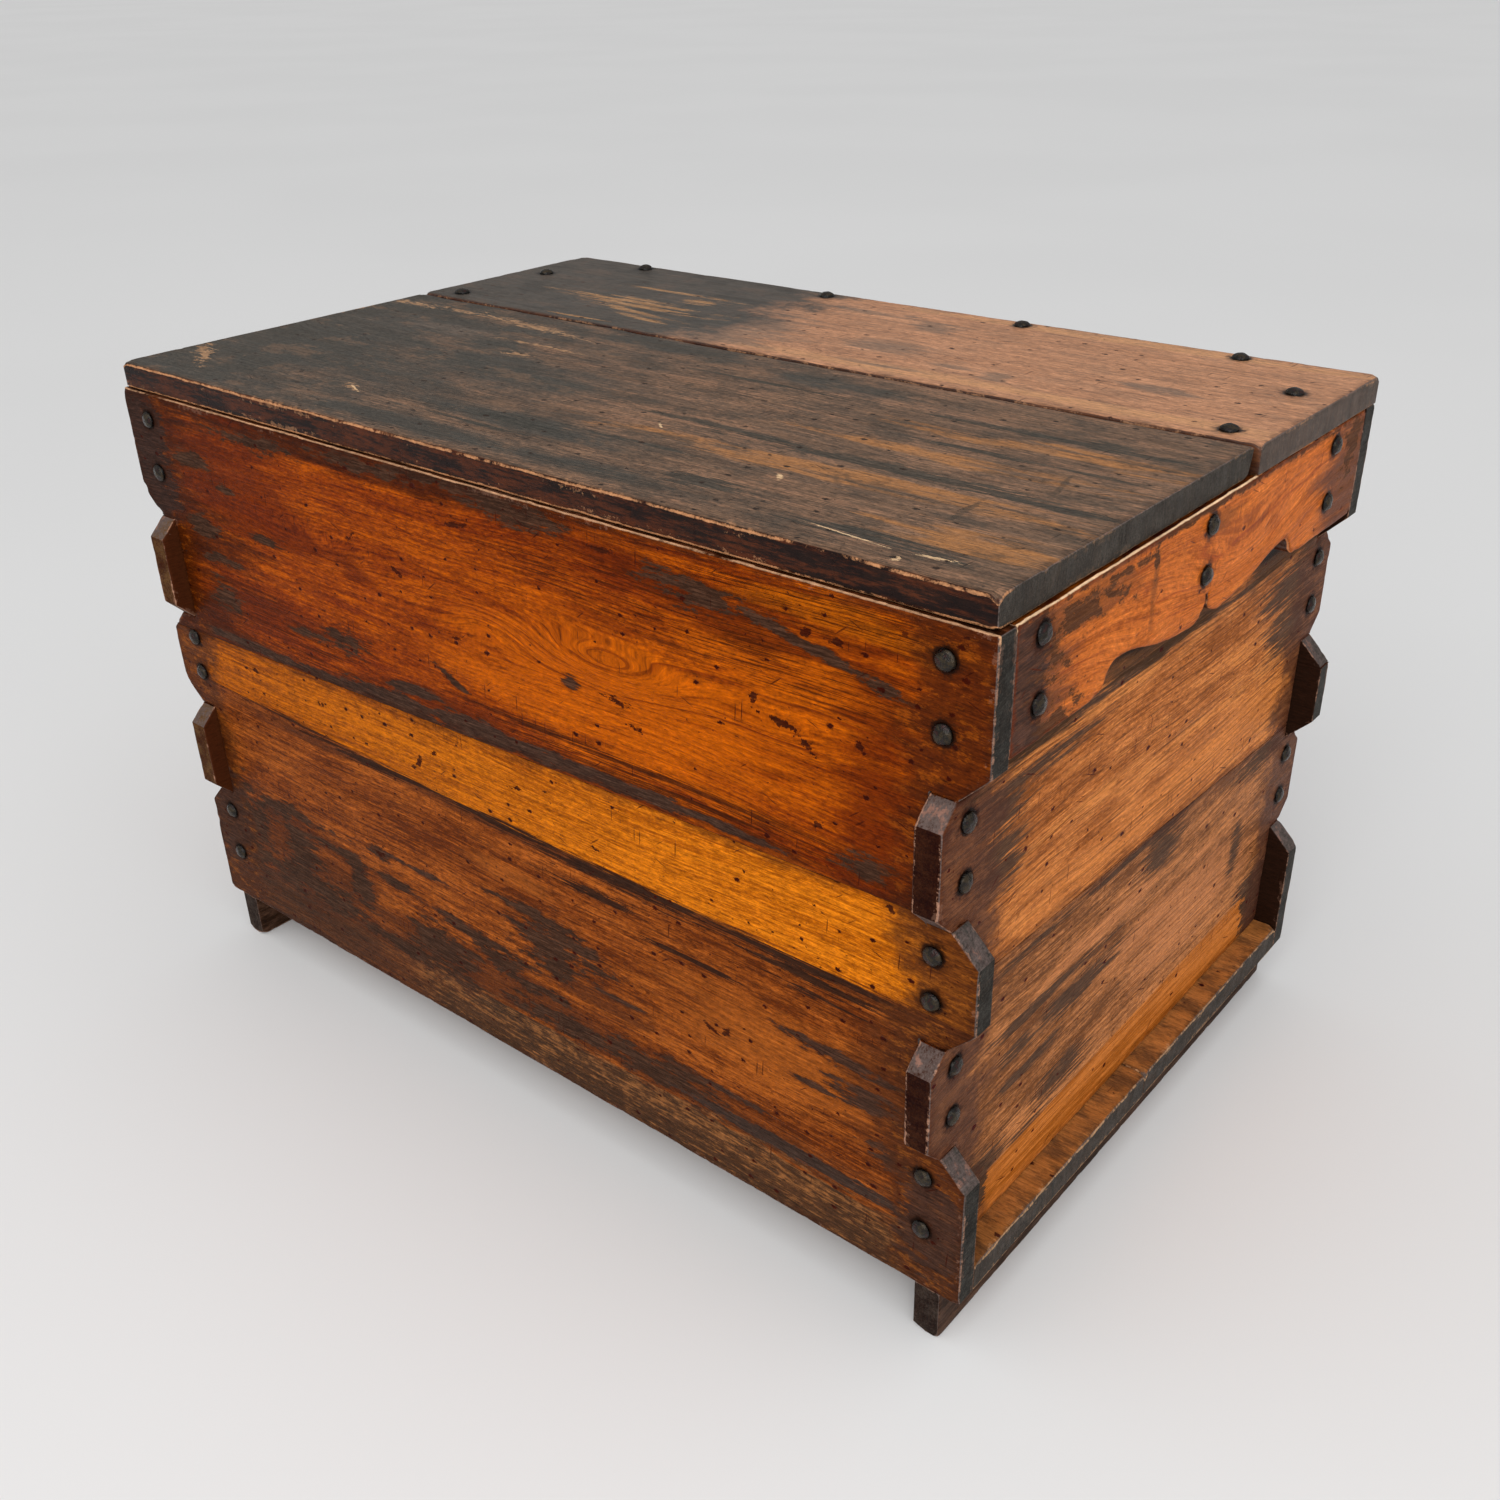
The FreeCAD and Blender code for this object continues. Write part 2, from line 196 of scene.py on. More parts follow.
def turn_at(before, here, after):
    first = math.atan2(here[1] - before[1], here[0] - before[0])
    second = math.atan2(after[1] - here[1], after[0] - here[0])
    return (second - first + math.pi) % (2 * math.pi) - math.pi


def corners(outline):
    """Each point of the outline between the one before and the one after."""
    return zip(outline[-1:] + outline[:-1], outline, outline[1:] + outline[:1])


def straightened(outline):
    """The outline without points that lie on a straight run."""
    return [corner[1] for corner in corners(outline) if abs(turn_at(*corner)) > STRAIGHT_TURN]


def filleted(outline, radius):
    """The outline with its outward corners rounded."""
    rounded = []
    for before, here, after in corners(outline):
        turn = turn_at(before, here, after)
        if turn < FILLET_TURN:
            rounded.append(here)
            continue
        point, back, on = Vector(here), Vector(before), Vector(after)
        cut = min(radius * math.tan(turn / 2), 0.4 * (back - point).length, 0.4 * (on - point).length)
        start = point + (back - point).normalized() * cut
        stop = point + (on - point).normalized() * cut
        rounded += [tuple(start), tuple(start * 0.25 + point * 0.5 + stop * 0.25), tuple(stop)]
    return rounded


def resampled(outline, step):
    points = []
    for here, there in zip(outline, outline[1:] + outline[:1]):
        a, b = Vector(here), Vector(there)
        count = max(1, round((b - a).length / step))
        points += [tuple(a.lerp(b, i / count)) for i in range(count)]
    return points


def circle(middle, radius, count):
    """Points round a circle, anticlockwise."""
    turns = [i * 2 * math.pi / count for i in range(count)]
    return [(middle[0] + radius * math.cos(turn), middle[1] + radius * math.sin(turn))
            for turn in turns]


def seeded_grid(low, high, rng):
    """A grid over the box of a face, each point a little astray."""
    across = np.arange(low[0], high[0], GRID_STEP)
    up = np.arange(low[1], high[1], GRID_STEP)
    grid = np.array([(x, y) for x in across for y in up])
    return grid + np.array([[rng.uniform(-GRID_SHIFT, GRID_SHIFT) * GRID_STEP for _ in range(2)]
                            for _ in grid])


def flat_mesh(outline_points, centres, rng, cover=None):
    """Triangles that fill the outline, dense near its edge, near nails and by a cover."""
    outline = Outline(outline_points)
    rim = resampled(outline_points, OUTLINE_STEP)
    rim_sides = outline.distances(rim).argmin(1)
    candidates = []
    for depth in RING_DEPTHS:
        stride = 1 if depth < RING_DEPTHS[-2] else 2
        ring = np.array(rim) + depth * outline.inward[rim_sides]
        candidates += list(outline.inner(ring[::stride], 0.96 * depth))
    for centre in centres:
        for radius in NAIL_RINGS:
            candidates += list(outline.inner(circle(centre, radius, NAIL_RING_POINTS), 0.8))
    if cover:
        foot = np.array(resampled([tuple(p) for p in cover.a], COVER_STEP))
        away = cover.inward[cover.distances(foot).argmin(1)]
        for reach in COVER_RINGS:
            ring = foot - reach * away
            ring = ring[cover.distances(ring).min(1) > 0.9 * reach]
            candidates += list(outline.inner(ring, RING_DEPTHS[-1]))
    grid = seeded_grid(outline.a.min(0), outline.a.max(0), rng)
    grid = outline.inner(grid, RING_DEPTHS[-1] + GRID_CLEAR)
    for centre in centres:
        grid = grid[np.linalg.norm(grid - np.array(centre), axis=1) > NAIL_RINGS[-1] + GRID_CLEAR]
    points, taken = [], set()
    for p in rim + candidates + list(grid):
        cell = (round(p[0] / POINT_CELL), round(p[1] / POINT_CELL))
        if len(points) < len(rim) or cell not in taken:
            taken.add(cell)
            points.append(Vector(p))
    filled = geometry.delaunay_2d_cdt(points, [], [list(range(len(rim)))], 1, 1e-5)
    return [tuple(p) for p in filled[0]], [tuple(face) for face in filled[2]]


def side_name(inward):
    """Which side of the board an inward direction belongs to."""
    if abs(inward[0]) > 0.9:
        return "low_u" if inward[0] > 0 else "high_u"
    if abs(inward[1]) > 0.9:
        return "low_v" if inward[1] > 0 else "high_v"
    return "slant"


def rough(point, size, seed):
    return noise.noise(Vector((point[0] / size + seed, point[1] / size - seed, seed * 0.37)))


def worn_sheet(points, outline, wear, seed, rng):
    """How deep each point of a face lies below the full board, and its edge distance."""
    gaps, inward = outline.nearest(points)
    all_gaps = np.sort(outline.distances(points), axis=1)[:, :2]
    soft = (np.maximum(all_gaps, 1e-3) ** -4.0).sum(1) ** -0.25
    pits = []
    for _ in range(wear.gouges):
        side = rng.randrange(len(outline.a))
        spot = outline.a[side] + outline.run[side] * rng.random()
        pits.append((spot, rng.uniform(*GOUGE_RADII), rng.uniform(0.3, 1.0) * wear.gouge_depth))
    drops = []
    for point, gap, near, way in zip(points, gaps, soft, inward):
        width = wear.width_at(side_name(way))
        chip = sum(max(0.0, rough(point, size, seed + more) - level) * wear.chips
                   for size, level, more in CHIPS)
        if width <= TIGHT:
            chip *= TIGHT_CHIPS
        width = width * (1.0 + WIDTH_CHANGE * rough(point, 34.0, seed + 9)) + chip
        share = min(1.0, max(0.0, (width - near) / width))
        drop = WEAR_DROP * width * (1.0 - math.sqrt(max(0.0, 1.0 - share * share)))
        drop += FACE_SAG * (0.5 + 0.5 * rough(point, SAG_SIZE, seed + 3)) * min(1.0, gap / SAG_EDGE)
        for spot, radius, depth in pits:
            reach = math.hypot(point[0] - spot[0], point[1] - spot[1]) / radius
            if reach < 1.0:
                drop += depth * (1.0 - reach * reach) ** 2
        drops.append(drop)
    return drops, gaps


def nibbled(points, outline, wear, seed, rim_points):
    """Rim points moved inwards by small amounts, so that the outline is not ruled."""
    moved = list(points)
    _, inward = outline.nearest(points)
    for i in rim_points:
        point, way = points[i], inward[i]
        tight = wear.width_at(side_name(way)) <= TIGHT
        bite = (TIGHT_BITE if tight else OPEN_BITE) * (0.5 + 0.5 * rough(point, 17.0, seed + 21))
        bite += (0.0 if tight else DEEP_BITE) * max(0.0, rough(point, 40.0, seed + 31))
        moved[i] = (point[0] + way[0] * bite, point[1] + way[1] * bite)
    return moved


def open_distances(outline, wear, points):
    """Distances from the sides that aren't tight in a joint."""
    sides = [wear.width_at(side_name(way)) > TIGHT for way in outline.inward]
    return outline.distances(points)[:, np.array(sides)].min(1)


def rim_of(triangles):
    """The edges that only one of the triangles has."""
    uses = {}
    for face in triangles:
        for pair in zip(face, face[1:] + face[:1]):
            key = tuple(sorted(pair))
            uses[key] = uses.get(key, 0) + 1
    return [pair for pair, times in uses.items() if times == 1]


def board_mesh(name, axis, outline_points, low, high, wear_low, wear_high, centres, seed, cover=None):
    """A worn board between two levels along an axis, with the distances that its paint needs."""
    rng = random.Random(seed)
    u, v = ACROSS[axis]
    smooth = filleted(straightened(outline_points), CORNER_FILLET)
    outline = Outline(smooth)
    points, triangles = flat_mesh(smooth, centres, rng, cover)
    rim_edges = rim_of(triangles)
    rim_points = {i for pair in rim_edges for i in pair}
    moved = nibbled(points, outline, wear_high, seed, rim_points)
    top, gaps = worn_sheet(points, outline, wear_high, seed, rng)
    foot, _ = worn_sheet(points, outline, wear_low, seed + 50, rng)
    bare = open_distances(outline, wear_high, points)
    limit = DEEPEST_WEAR * (high - low)
    verts, edge_gap, bare_gap = [], [], []

    def add(i, level, edge, open_edge):
        co = [0.0, 0.0, 0.0]
        co[u], co[v], co[axis] = *moved[i], level
        verts.append(co)
        edge_gap.append(min(edge, FAR))
        bare_gap.append(min(open_edge, FAR))
        return len(verts) - 1

    count = range(len(points))
    upper = [add(i, high - min(top[i], limit), gaps[i], bare[i]) for i in count]
    lower = [add(i, low + min(foot[i], limit), gaps[i], bare[i]) for i in count]
    faces = [tuple(upper[i] for i in face) for face in triangles]
    faces += [tuple(lower[i] for i in reversed(face)) for face in triangles]
    columns = {}
    for i in rim_points:
        head, base = verts[upper[i]][axis], verts[lower[i]][axis]
        columns[i] = [upper[i]]
        for share in WALL_ROWS[1:-1]:
            level = head + (base - head) * share
            gap = min(abs(head - level), abs(level - base))
            columns[i].append(add(i, level, gap, max(gap, bare[i])))
        columns[i].append(lower[i])
    for a, b in rim_edges:
        for row in range(len(WALL_ROWS) - 1):
            faces.append((columns[a][row], columns[a][row + 1], columns[b][row + 1], columns[b][row]))
    flat = np.array(verts)[:, [u, v]]
    nail_gap = np.full(len(verts), FAR)
    for centre in centres:
        nail_gap = np.minimum(nail_gap, np.linalg.norm(flat - np.array(centre), axis=1))
    measures = {"edge_gap": edge_gap, "bare_gap": bare_gap, "nail_gap": nail_gap}
    if cover:
        gap = np.where(cover.holds(flat), 0.0, cover.distances(flat).min(1))
        measures["cover_gap"] = np.minimum(gap, FAR)
    return finished_mesh(name, verts, faces, measures, SHARP_WOOD)


def finished_mesh(name, verts, faces, measures, sharp):
    """A mesh in metres, with one number per vertex for each measure."""
    mesh = bpy.data.meshes.new(name)
    mesh.from_pydata([tuple(c * MM for c in co) for co in verts], [], faces)
    for label, values in measures.items():
        layer = mesh.attributes.new(label, "FLOAT", "POINT")
        layer.data.foreach_set("value", np.array(values, np.float32))
    work = bmesh.new()
    work.from_mesh(mesh)
    bmesh.ops.recalc_face_normals(work, faces=work.faces[:])
    work.to_mesh(mesh)
    work.free()
    mesh.shade_smooth()
    mesh.set_sharp_from_angle(angle=sharp)
    return mesh


def place_piece(name, mesh, body, node, material):
    """Puts a finished mesh in the scene in the place of a CAD node."""
    piece = bpy.data.objects.new(name, mesh)
    bpy.context.scene.collection.objects.link(piece)
    mesh.materials.append(material)
    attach(piece, body)
    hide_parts(node)


# --- Nails --------------------------------------------------------------------

NAIL_SIDES = 26
CROWN_RINGS = 8
FACETS = 13          # hammer blows on a head
DOMED = 0.5          # a head higher than this is a dome
FLAT_RISE = 0.3      # crown of a flat head, as a share of its thickness
POINT_LENGTH = 7.0   # the shank tapers over this length
POINT_RADIUS = 0.05


def islands(node):
    """The separate solids of a node, each as an array of points in millimetres."""
    mesh = welded(node)
    left = set(mesh.verts)
    found = []
    while left:
        stack = [left.pop()]
        group = []
        while stack:
            vert = stack.pop()
            group.append(tuple(c / MM for c in vert.co))
            for edge in vert.link_edges:
                other = edge.other_vert(vert)
                if other in left:
                    left.remove(other)
                    stack.append(other)
        found.append(np.array(group))
    mesh.free()
    return sorted(found, key=lambda points: tuple(points.mean(0).round(1)))


class Nail:
    """Where one nail stands, its way out and its sizes, measured on its solid."""

    def __init__(self, points, way):
        self.way = Vector(way)
        self.axis = [abs(c) for c in way].index(1)
        self.sign = way[self.axis]
        self.centre = (points.min(0) + points.max(0)) / 2
        along = points @ np.array(way)
        spread = np.linalg.norm(np.delete(points - self.centre, self.axis, axis=1), axis=1)
        self.head_radius = spread.max()
        widest = along[spread > 0.97 * self.head_radius]
        self.top = along.max()
        self.length = self.top - along.min()
        self.head_depth = self.top - widest.min()
        self.shank_radius = spread[along < self.top - self.head_depth - 0.5].max()
        head_height = self.top - widest.max()
        self.domed = head_height > DOMED
        self.peak = head_height if self.domed else self.head_depth * FLAT_RISE

    def on_face(self):
        """Its place on the board's face."""
        return tuple(self.centre[axis] for axis in ACROSS[self.axis])


def nail_rings(nail, rng):
    """A hand-forged nail as rings from its hammered crown down to its tip."""
    rings = []
    blows = [(rng.uniform(0.15, 0.8), rng.uniform(0, 2 * math.pi), rng.uniform(0.90, 0.975))
             for _ in range(FACETS)]
    for step in range(1, CROWN_RINGS + 1):
        share = step / CROWN_RINGS
        way_out = math.sin(share * math.pi / 2)
        rise = math.cos(share * math.pi / 2) ** 0.9 if nail.domed else 0.25 * (1 - share ** 2)
        ring = []
        for i in range(NAIL_SIDES):
            turn = 2 * math.pi * i / NAIL_SIDES
            shrink = 1.0
            for tilt, about, limit in blows:
                facing = (way_out * math.sin(tilt * math.pi / 2) * math.cos(turn - about)
                          + rise * math.cos(tilt * math.pi / 2))
                if facing > limit:
                    shrink = min(shrink, limit / facing)
            if step == CROWN_RINGS:
                shrink = 1.0 - 0.035 * (0.5 + 0.5 * math.sin(3 * turn + blows[0][1]))
            r = nail.head_radius * way_out * shrink
            ring.append((r * math.cos(turn), r * math.sin(turn), nail.peak * rise * shrink))
        rings.append(ring)
    floor = 0.0
    if not nail.domed:
        floor = nail.peak - nail.head_depth
        rings.append([(x * 0.97, y * 0.97, floor) for x, y, _ in rings[-1]])
    tip = nail.peak - nail.length
    shank = nail.shank_radius
    for level, r in ((floor, shank), (tip + POINT_LENGTH, shank), (tip, POINT_RADIUS)):
        rings.append([(x, y, level) for x, y in circle((0, 0), r, NAIL_SIDES)])
    return rings


def nail_mesh(name, nails, seed):
    rng = random.Random(seed)
    verts, faces, crowns = [], [], []
    for nail in nails:
        rings = nail_rings(nail, rng)
        turn = nail.way.to_track_quat("Z", "Y").to_matrix()
        foot = Vector(nail.centre)
        foot[nail.axis] = nail.way[nail.axis] * (nail.top - nail.peak)
        start = len(verts)
        crown, tip = (0.0, 0.0, nail.peak * 0.985), (0.0, 0.0, nail.peak - nail.length)
        for co in [crown] + [co for ring in rings for co in ring] + [tip]:
            verts.append(tuple(foot + turn @ Vector(co)))
            crowns.append(max(0.0, co[2]) / nail.peak)
        for i in range(NAIL_SIDES):
            j = (i + 1) % NAIL_SIDES
            faces.append((start, start + 1 + i, start + 1 + j))
            for ring in range(len(rings) - 1):
                a = start + 1 + ring * NAIL_SIDES
                b = a + NAIL_SIDES
                faces.append((a + i, b + i, b + j, a + j))
            last = start + 1 + (len(rings) - 1) * NAIL_SIDES
            faces.append((last + i, len(verts) - 1, last + j))
    return finished_mesh(name, verts, faces, {"crown": crowns}, SHARP_IRON)


# --- Fields: shader nodes with plain arithmetic --------------------------------

OVAL_LIMIT = 3.0     # an oval's reach is measured up to this
BUMP = 0.6           # strength of the relief


class Field:
    """A value or vector that varies over a surface."""

    tree = None      # the node tree that is being made

    def __init__(self, socket):
        self.socket = socket

    def __add__(self, other):
        return combine("ADD", self, other)

    def __radd__(self, other):
        return combine("ADD", other, self)

    def __sub__(self, other):
        return combine("SUBTRACT", self, other)

    def __rsub__(self, other):
        return combine("SUBTRACT", other, self)

    def __mul__(self, other):
        return combine("MULTIPLY", self, other)

    def __rmul__(self, other):
        return combine("MULTIPLY", other, self)


def new_node(kind, inputs=(), **settings):
    """A node with its settings, and with values or fields on its numbered or named inputs."""
    made = Field.tree.nodes.new(kind)
    for label, value in settings.items():
        setattr(made, label, value)
    for label, value in dict(inputs).items():
        if isinstance(value, Field):
            Field.tree.links.new(value.socket, made.inputs[label])
        else:
            made.inputs[label].default_value = value
    return made


def field(kind, output, inputs=(), **settings):
    """One output of a new node."""
    return Field(new_node(kind, inputs, **settings).outputs[output])


def combine(operation, *values, clamp=False):
    return field("ShaderNodeMath", 0, enumerate(values), operation=operation, use_clamp=clamp)


def least(*values):
    return reduce(lambda one, other: combine("MINIMUM", one, other), values)


def most(*values):
    return reduce(lambda one, other: combine("MAXIMUM", one, other), values)


def size_of(value):
    return combine("ABSOLUTE", value)


def held(value):
    """The value held between 0 and 1."""
    return combine("ADD", value, 0.0, clamp=True)


def ramp(low, high, value):
    """Rises smoothly from 0 at low to 1 at high, or falls where low is the larger."""
    return field("ShaderNodeMapRange", "Result", {"Value": value, "From Min": low, "From Max": high},
                 interpolation_type="SMOOTHSTEP")


def vector(*values):
    return field("ShaderNodeCombineXYZ", 0, enumerate(values))


def stretched(place, sizes, seed):
    """The place divided by feature sizes, moved to another part of the noise."""
    shift = (seed * 3.7, seed * 5.3 + 1.0, seed * 7.1 + 2.0)
    return field("ShaderNodeMapping", 0, {
        "Vector": place, "Location": shift, "Scale": [1.0 / size for size in sizes]},
        vector_type="POINT")


def clouds(place, sizes, seed, detail=2.0, roughness=0.5):
    """Noise about 0, mostly between -1 and 1, with features of the given sizes."""
    octaves = [roughness ** octave for octave in range(int(detail) + 1)]
    gain = 4.0 * sum(octaves) / math.sqrt(sum(size * size for size in octaves))
    raw = field("ShaderNodeTexNoise", "Fac", {
        "Vector": stretched(place, sizes, seed), "Scale": 1.0, "Detail": detail,
        "Roughness": roughness})
    return combine("MULTIPLY_ADD", raw, gain, -gain / 2)


def spots(place, sizes, seed, radius, rarity):
    """Scattered spots of many sizes: 1 in their middle, for the share of cells above rarity."""
    cells = new_node("ShaderNodeTexVoronoi", {"Vector": stretched(place, sizes, seed), "Scale": 1.0},
                     voronoi_dimensions="2D")
    chance = new_node("ShaderNodeSeparateColor", {0: Field(cells.outputs["Color"])})
    reach = combine("DIVIDE", Field(cells.outputs["Distance"]), 0.35 + Field(chance.outputs[1]))
    return ramp(radius, radius * 0.5, reach) * ramp(rarity, rarity + 0.03, Field(chance.outputs[0]))


def oval_reach(plane, u, v, half_u, half_v, tilt=0):
    """Distance from an oval's middle, 1 on its outline. The tilt is in degrees."""
    local = field("ShaderNodeMapping", 0, {
        "Vector": plane, "Location": (u, v, 0.0), "Rotation": (0.0, 0.0, math.radians(tilt)),
        "Scale": (half_u * OVAL_LIMIT, half_v * OVAL_LIMIT, 1.0)}, vector_type="TEXTURE")
    ball = field("ShaderNodeTexGradient", "Fac", {"Vector": local}, gradient_type="SPHERICAL")
    return combine("MULTIPLY_ADD", ball, -OVAL_LIMIT, OVAL_LIMIT)


def nearest_oval(plane, ovals):
    return least(*(oval_reach(plane, *oval) for oval in ovals))


def layered(below, above, mask):
    return field("ShaderNodeMix", 2, {0: mask, 6: below, 7: above}, data_type="RGBA", clamp_factor=True)


def measure(label):
    """A number that the mesh carries at each vertex."""
    return field("ShaderNodeAttribute", "Fac", attribute_name=label)


def cleared(owner):
    """A material or world with an empty node tree, which the next nodes go into."""
    owner.use_nodes = True
    owner.node_tree.nodes.clear()
    Field.tree = owner.node_tree
    return owner


def in_millimetres(source):
    """The object's own coordinates, from a texture coordinate node."""
    return field("ShaderNodeVectorMath", 0, {0: Field(source.outputs["Object"]), "Scale": 1.0 / MM},
                 operation="SCALE")


def surface(colour, roughness, height, **extra):
    """The shader and the material output, for what has been painted."""
    relief = field("ShaderNodeBump", 0, {"Distance": MM, "Strength": BUMP, "Height": height})
    shader = field("ShaderNodeBsdfPrincipled", 0, {
        "Normal": relief, "Base Color": colour, "Roughness": held(roughness), **extra})
    new_node("ShaderNodeOutputMaterial", {0: shader})


def linear(channel):
    value = channel / 255.0
    return value / 12.92 if value <= 0.04045 else ((value + 0.055) / 1.055) ** 2.4


# --- Wood ---------------------------------------------------------------------

class Light(NamedTuple):
    """What the studio's light does to a face: how bright it is lit, and what gloss adds."""

    strength: float
    glare: float

    def tone(self, seen):
        """The paint that looks like this screen colour on the face."""
        return *(max(linear(channel) - self.glare, 0.0) / self.strength for channel in seen), 1.0

    def blend(self, dark, pale, level):
        """A field between two screen colours."""
        return layered(self.tone(dark), self.tone(pale), level)


FRONT_LIGHT = Light(1.16, 0.004)
TOP_LIGHT = Light(0.98, 0.012)
LID_LIGHT = Light(0.98, 0.005)
END_LIGHT = Light(0.9, 0.018)
FLOOR_LIGHT = Light(0.82, 0.0)

# Shades that several boards share, as they look on screen
SLATE = (56, 38, 29)
SLATE_PALE = (84, 58, 44)
EAR_BROWN = (86, 44, 22)
EAR_DARK = (44, 28, 21)
EAR_RED = (76, 50, 41)
EDGE_PINK = (170, 128, 106)
EDGE_WHITE = (214, 190, 172)
# peach edge line: worn wood and a painted highlight
EDGE_PEACH_HIGHLIGHT = (208, 160, 122)
# cream edge line: worn wood and a painted highlight
EDGE_CREAM_HIGHLIGHT = (232, 196, 158)
END_SLATE = (44, 43, 40)      # ends of the long planks
END_ASH = (68, 67, 63)
END_BLACK = (44, 29, 26)      # ends of the right end planks
END_BROWN = (64, 46, 40)
EAR_UMBER = (62, 42, 30)      # ends of the left end planks
EAR_OLIVE = (98, 74, 52)
# painted sheen on slanting end faces
SLANT_SHEEN_GREY = (98, 86, 82)
SALMON = (168, 118, 98)
NAIL_SHADE = (30, 20, 16)
# painted shadow right under a covering board
CREVICE_SHADOW = (26, 18, 15)
PIT_BROWN = (58, 20, 8)
INSIDE_DARK = (112, 82, 56)
INSIDE_PALE = (160, 124, 88)
INNER_HALF_LENGTH = 422.0     # inside the corner joints: beyond it are the long planks' ears
INNER_HALF_DEPTH = 281.0      # and beyond this the end planks' ears
TOP_EDGE = 575.0              # height of the walls' top edge
HEAD_EDGE = 8.0               # from a nail's middle to just outside its head
GRIT_SHADE = 0.22             # how much the fine grain lightens and darkens the colour
FINE_SHADE = 0.16


class Wood:
    """A wood material in a board's own directions: u along the grain, v across it.

    Each noise has a number of its own, which is added to the board's seed."""

    def __init__(self, name, along, across, seed, light, swirls=()):
        self.material = cleared(bpy.data.materials.new(name))
        self.seed = seed
        self.light = light
        axes = (along, across, 3 - along - across)
        source = new_node("ShaderNodeTexCoord")
        place = new_node("ShaderNodeSeparateXYZ", {0: in_millimetres(source)})
        self.u, self.v, self.t = (Field(place.outputs[axis]) for axis in axes)
        facing = new_node("ShaderNodeSeparateXYZ", {0: Field(source.outputs["Normal"])})
        self.facing_u, self.facing_v, self.facing_t = (Field(facing.outputs[axis]) for axis in axes)
        self.place = vector(self.u, self.v, self.t)
        self.plane = vector(self.u, self.v, 0.0)
        self.grain = self.v + self.cloudy((420.0, 140.0, 90.0), 0, detail=1.0) * 6.0
        for u, v, half_u, half_v, lift in swirls:
            reach = oval_reach(self.plane, u, v, half_u, half_v)
            self.grain = self.grain + combine("EXPONENT", reach * reach * -1.0) * lift
        self.flow = vector(self.u, self.grain, self.t)
        self.edge_gap = measure("edge_gap")
        self.bare_gap = measure("bare_gap")
        self.nail_gap = measure("nail_gap")

    def cloudy(self, sizes, seed, detail=2.0, roughness=0.5):
        """Noise in the board's own directions."""
        return clouds(self.place, sizes, self.seed + seed, detail, roughness)

    def streaky(self, length, width, seed, detail=3.0, roughness=0.65, depth=30.0):
        """Noise drawn out along the grain."""
        return clouds(self.flow, (length, width, depth), self.seed + seed, detail, roughness)

    def paint(self, colour, cover):
        """Lays a screen colour, or a field of colour, over what is there."""
        colour = colour if isinstance(colour, Field) else self.light.tone(colour)
        self.colour = layered(self.colour, colour, cover)

    def base(self, dark, middle, pale, contrast=1.0, fine_width=1.5):
        """The bare wood: three tones mixed by streaks and mottles."""
        self.fine = self.streaky(60.0, fine_width, 1, detail=4.0, roughness=0.75)
        self.middle = self.streaky(200.0, 7.0, 2, detail=5.0, roughness=0.7)
        self.broad = self.streaky(420.0, 30.0, 3, detail=2.0, roughness=0.5)
        self.grit = self.streaky(7.0, 2.2, 4, roughness=0.8, depth=3.0)
        mottle = self.streaky(60.0, 18.0, 16, roughness=0.7, depth=20.0)
        level = (self.broad * 0.3 + mottle * 0.3 + self.middle * 0.18 + self.fine * 0.3
                 + self.grit * 0.22)
        level = 0.5 + contrast * level
        self.colour = self.light.tone(dark)
        self.paint(middle, ramp(0.0, 0.5, level))
        self.paint(pale, ramp(0.5, 1.0, level))
        pores = self.streaky(13.0, 1.1, 17, detail=2.0, roughness=0.8, depth=2.0)
        self.paint(dark, ramp(0.55, 1.1, pores) * 0.5)
        self.height = self.fine * 0.07 + self.grit * 0.06
        self.roughness = 0.42 + self.middle * 0.05

    def year_lines(self, colour, spacing=14.0, drift=9.0, reach=0.3, strength=0.7, seed=5):
        """Late-wood lines round the swirls of the grain, sharp on one side and soft on the other."""
        bend = self.cloudy((170.0, 38.0, 60.0), seed, roughness=0.4)
        level = (self.grain + bend * drift) * (1.0 / spacing)
        chance = field("ShaderNodeTexWhiteNoise", "Value", {"W": combine("FLOOR", level)},
                       noise_dimensions="1D")
        phase = combine("FRACT", level)
        line = ramp(1.0 - reach, 1.0, phase) * ramp(1.0, 0.95, phase)
        breaks = ramp(-0.7, 0.5, self.streaky(140.0, 12.0, seed + 1, detail=2.0))
        self.paint(colour, line * breaks * (0.35 + chance) * strength)

    def streaks(self, colour, length=120.0, width=2.2, cut=0.35, strength=0.7, where=1.0, seed=7):
        """Dark streaks, sharper than the bare wood's."""
        shape = self.streaky(length, width, seed, detail=5.0, roughness=0.7)
        self.paint(colour, ramp(cut, cut + 0.45, shape) * where * strength)

    def wash(self, colour, ovals, strength=0.8, wander=0.35, inner=0.5, outer=1.45, seed=10,
             length=120.0, width=14.0):
        """A broad change of colour that fades out round ovals."""
        drift = self.streaky(length, width, seed, detail=5.0, roughness=0.7)
        cover = ramp(outer, inner, nearest_oval(self.plane, ovals) + drift * wander)
        self.paint(colour, cover * strength)
        return cover

    def patina(self, dark, pale, ovals, ring=None, ragged=0.62, strength=0.96, length=30.0,
               width=8.0, seed=20):
        """Torn patches of old grime, with a stained ring round them and fibres in them; one end plank's
        list also holds a band of painted shade.
        """
        fray = self.streaky(length, width, seed, detail=8.0, roughness=0.72)
        reach = nearest_oval(self.plane, ovals) + fray * ragged
        if ring:
            self.paint(ring, ramp(1.6, 1.0, reach) * 0.65)
        fibres = self.streaky(22.0, 1.5, seed + 1, detail=4.0, roughness=0.75)
        cover = ramp(1.05, 0.97, reach + ramp(0.6, 1.1, fibres) * 0.4)
        self.paint(self.light.blend(dark, pale, ramp(-0.7, 1.2, fibres)), cover * strength)
        self.roughness = self.roughness + cover * 0.12

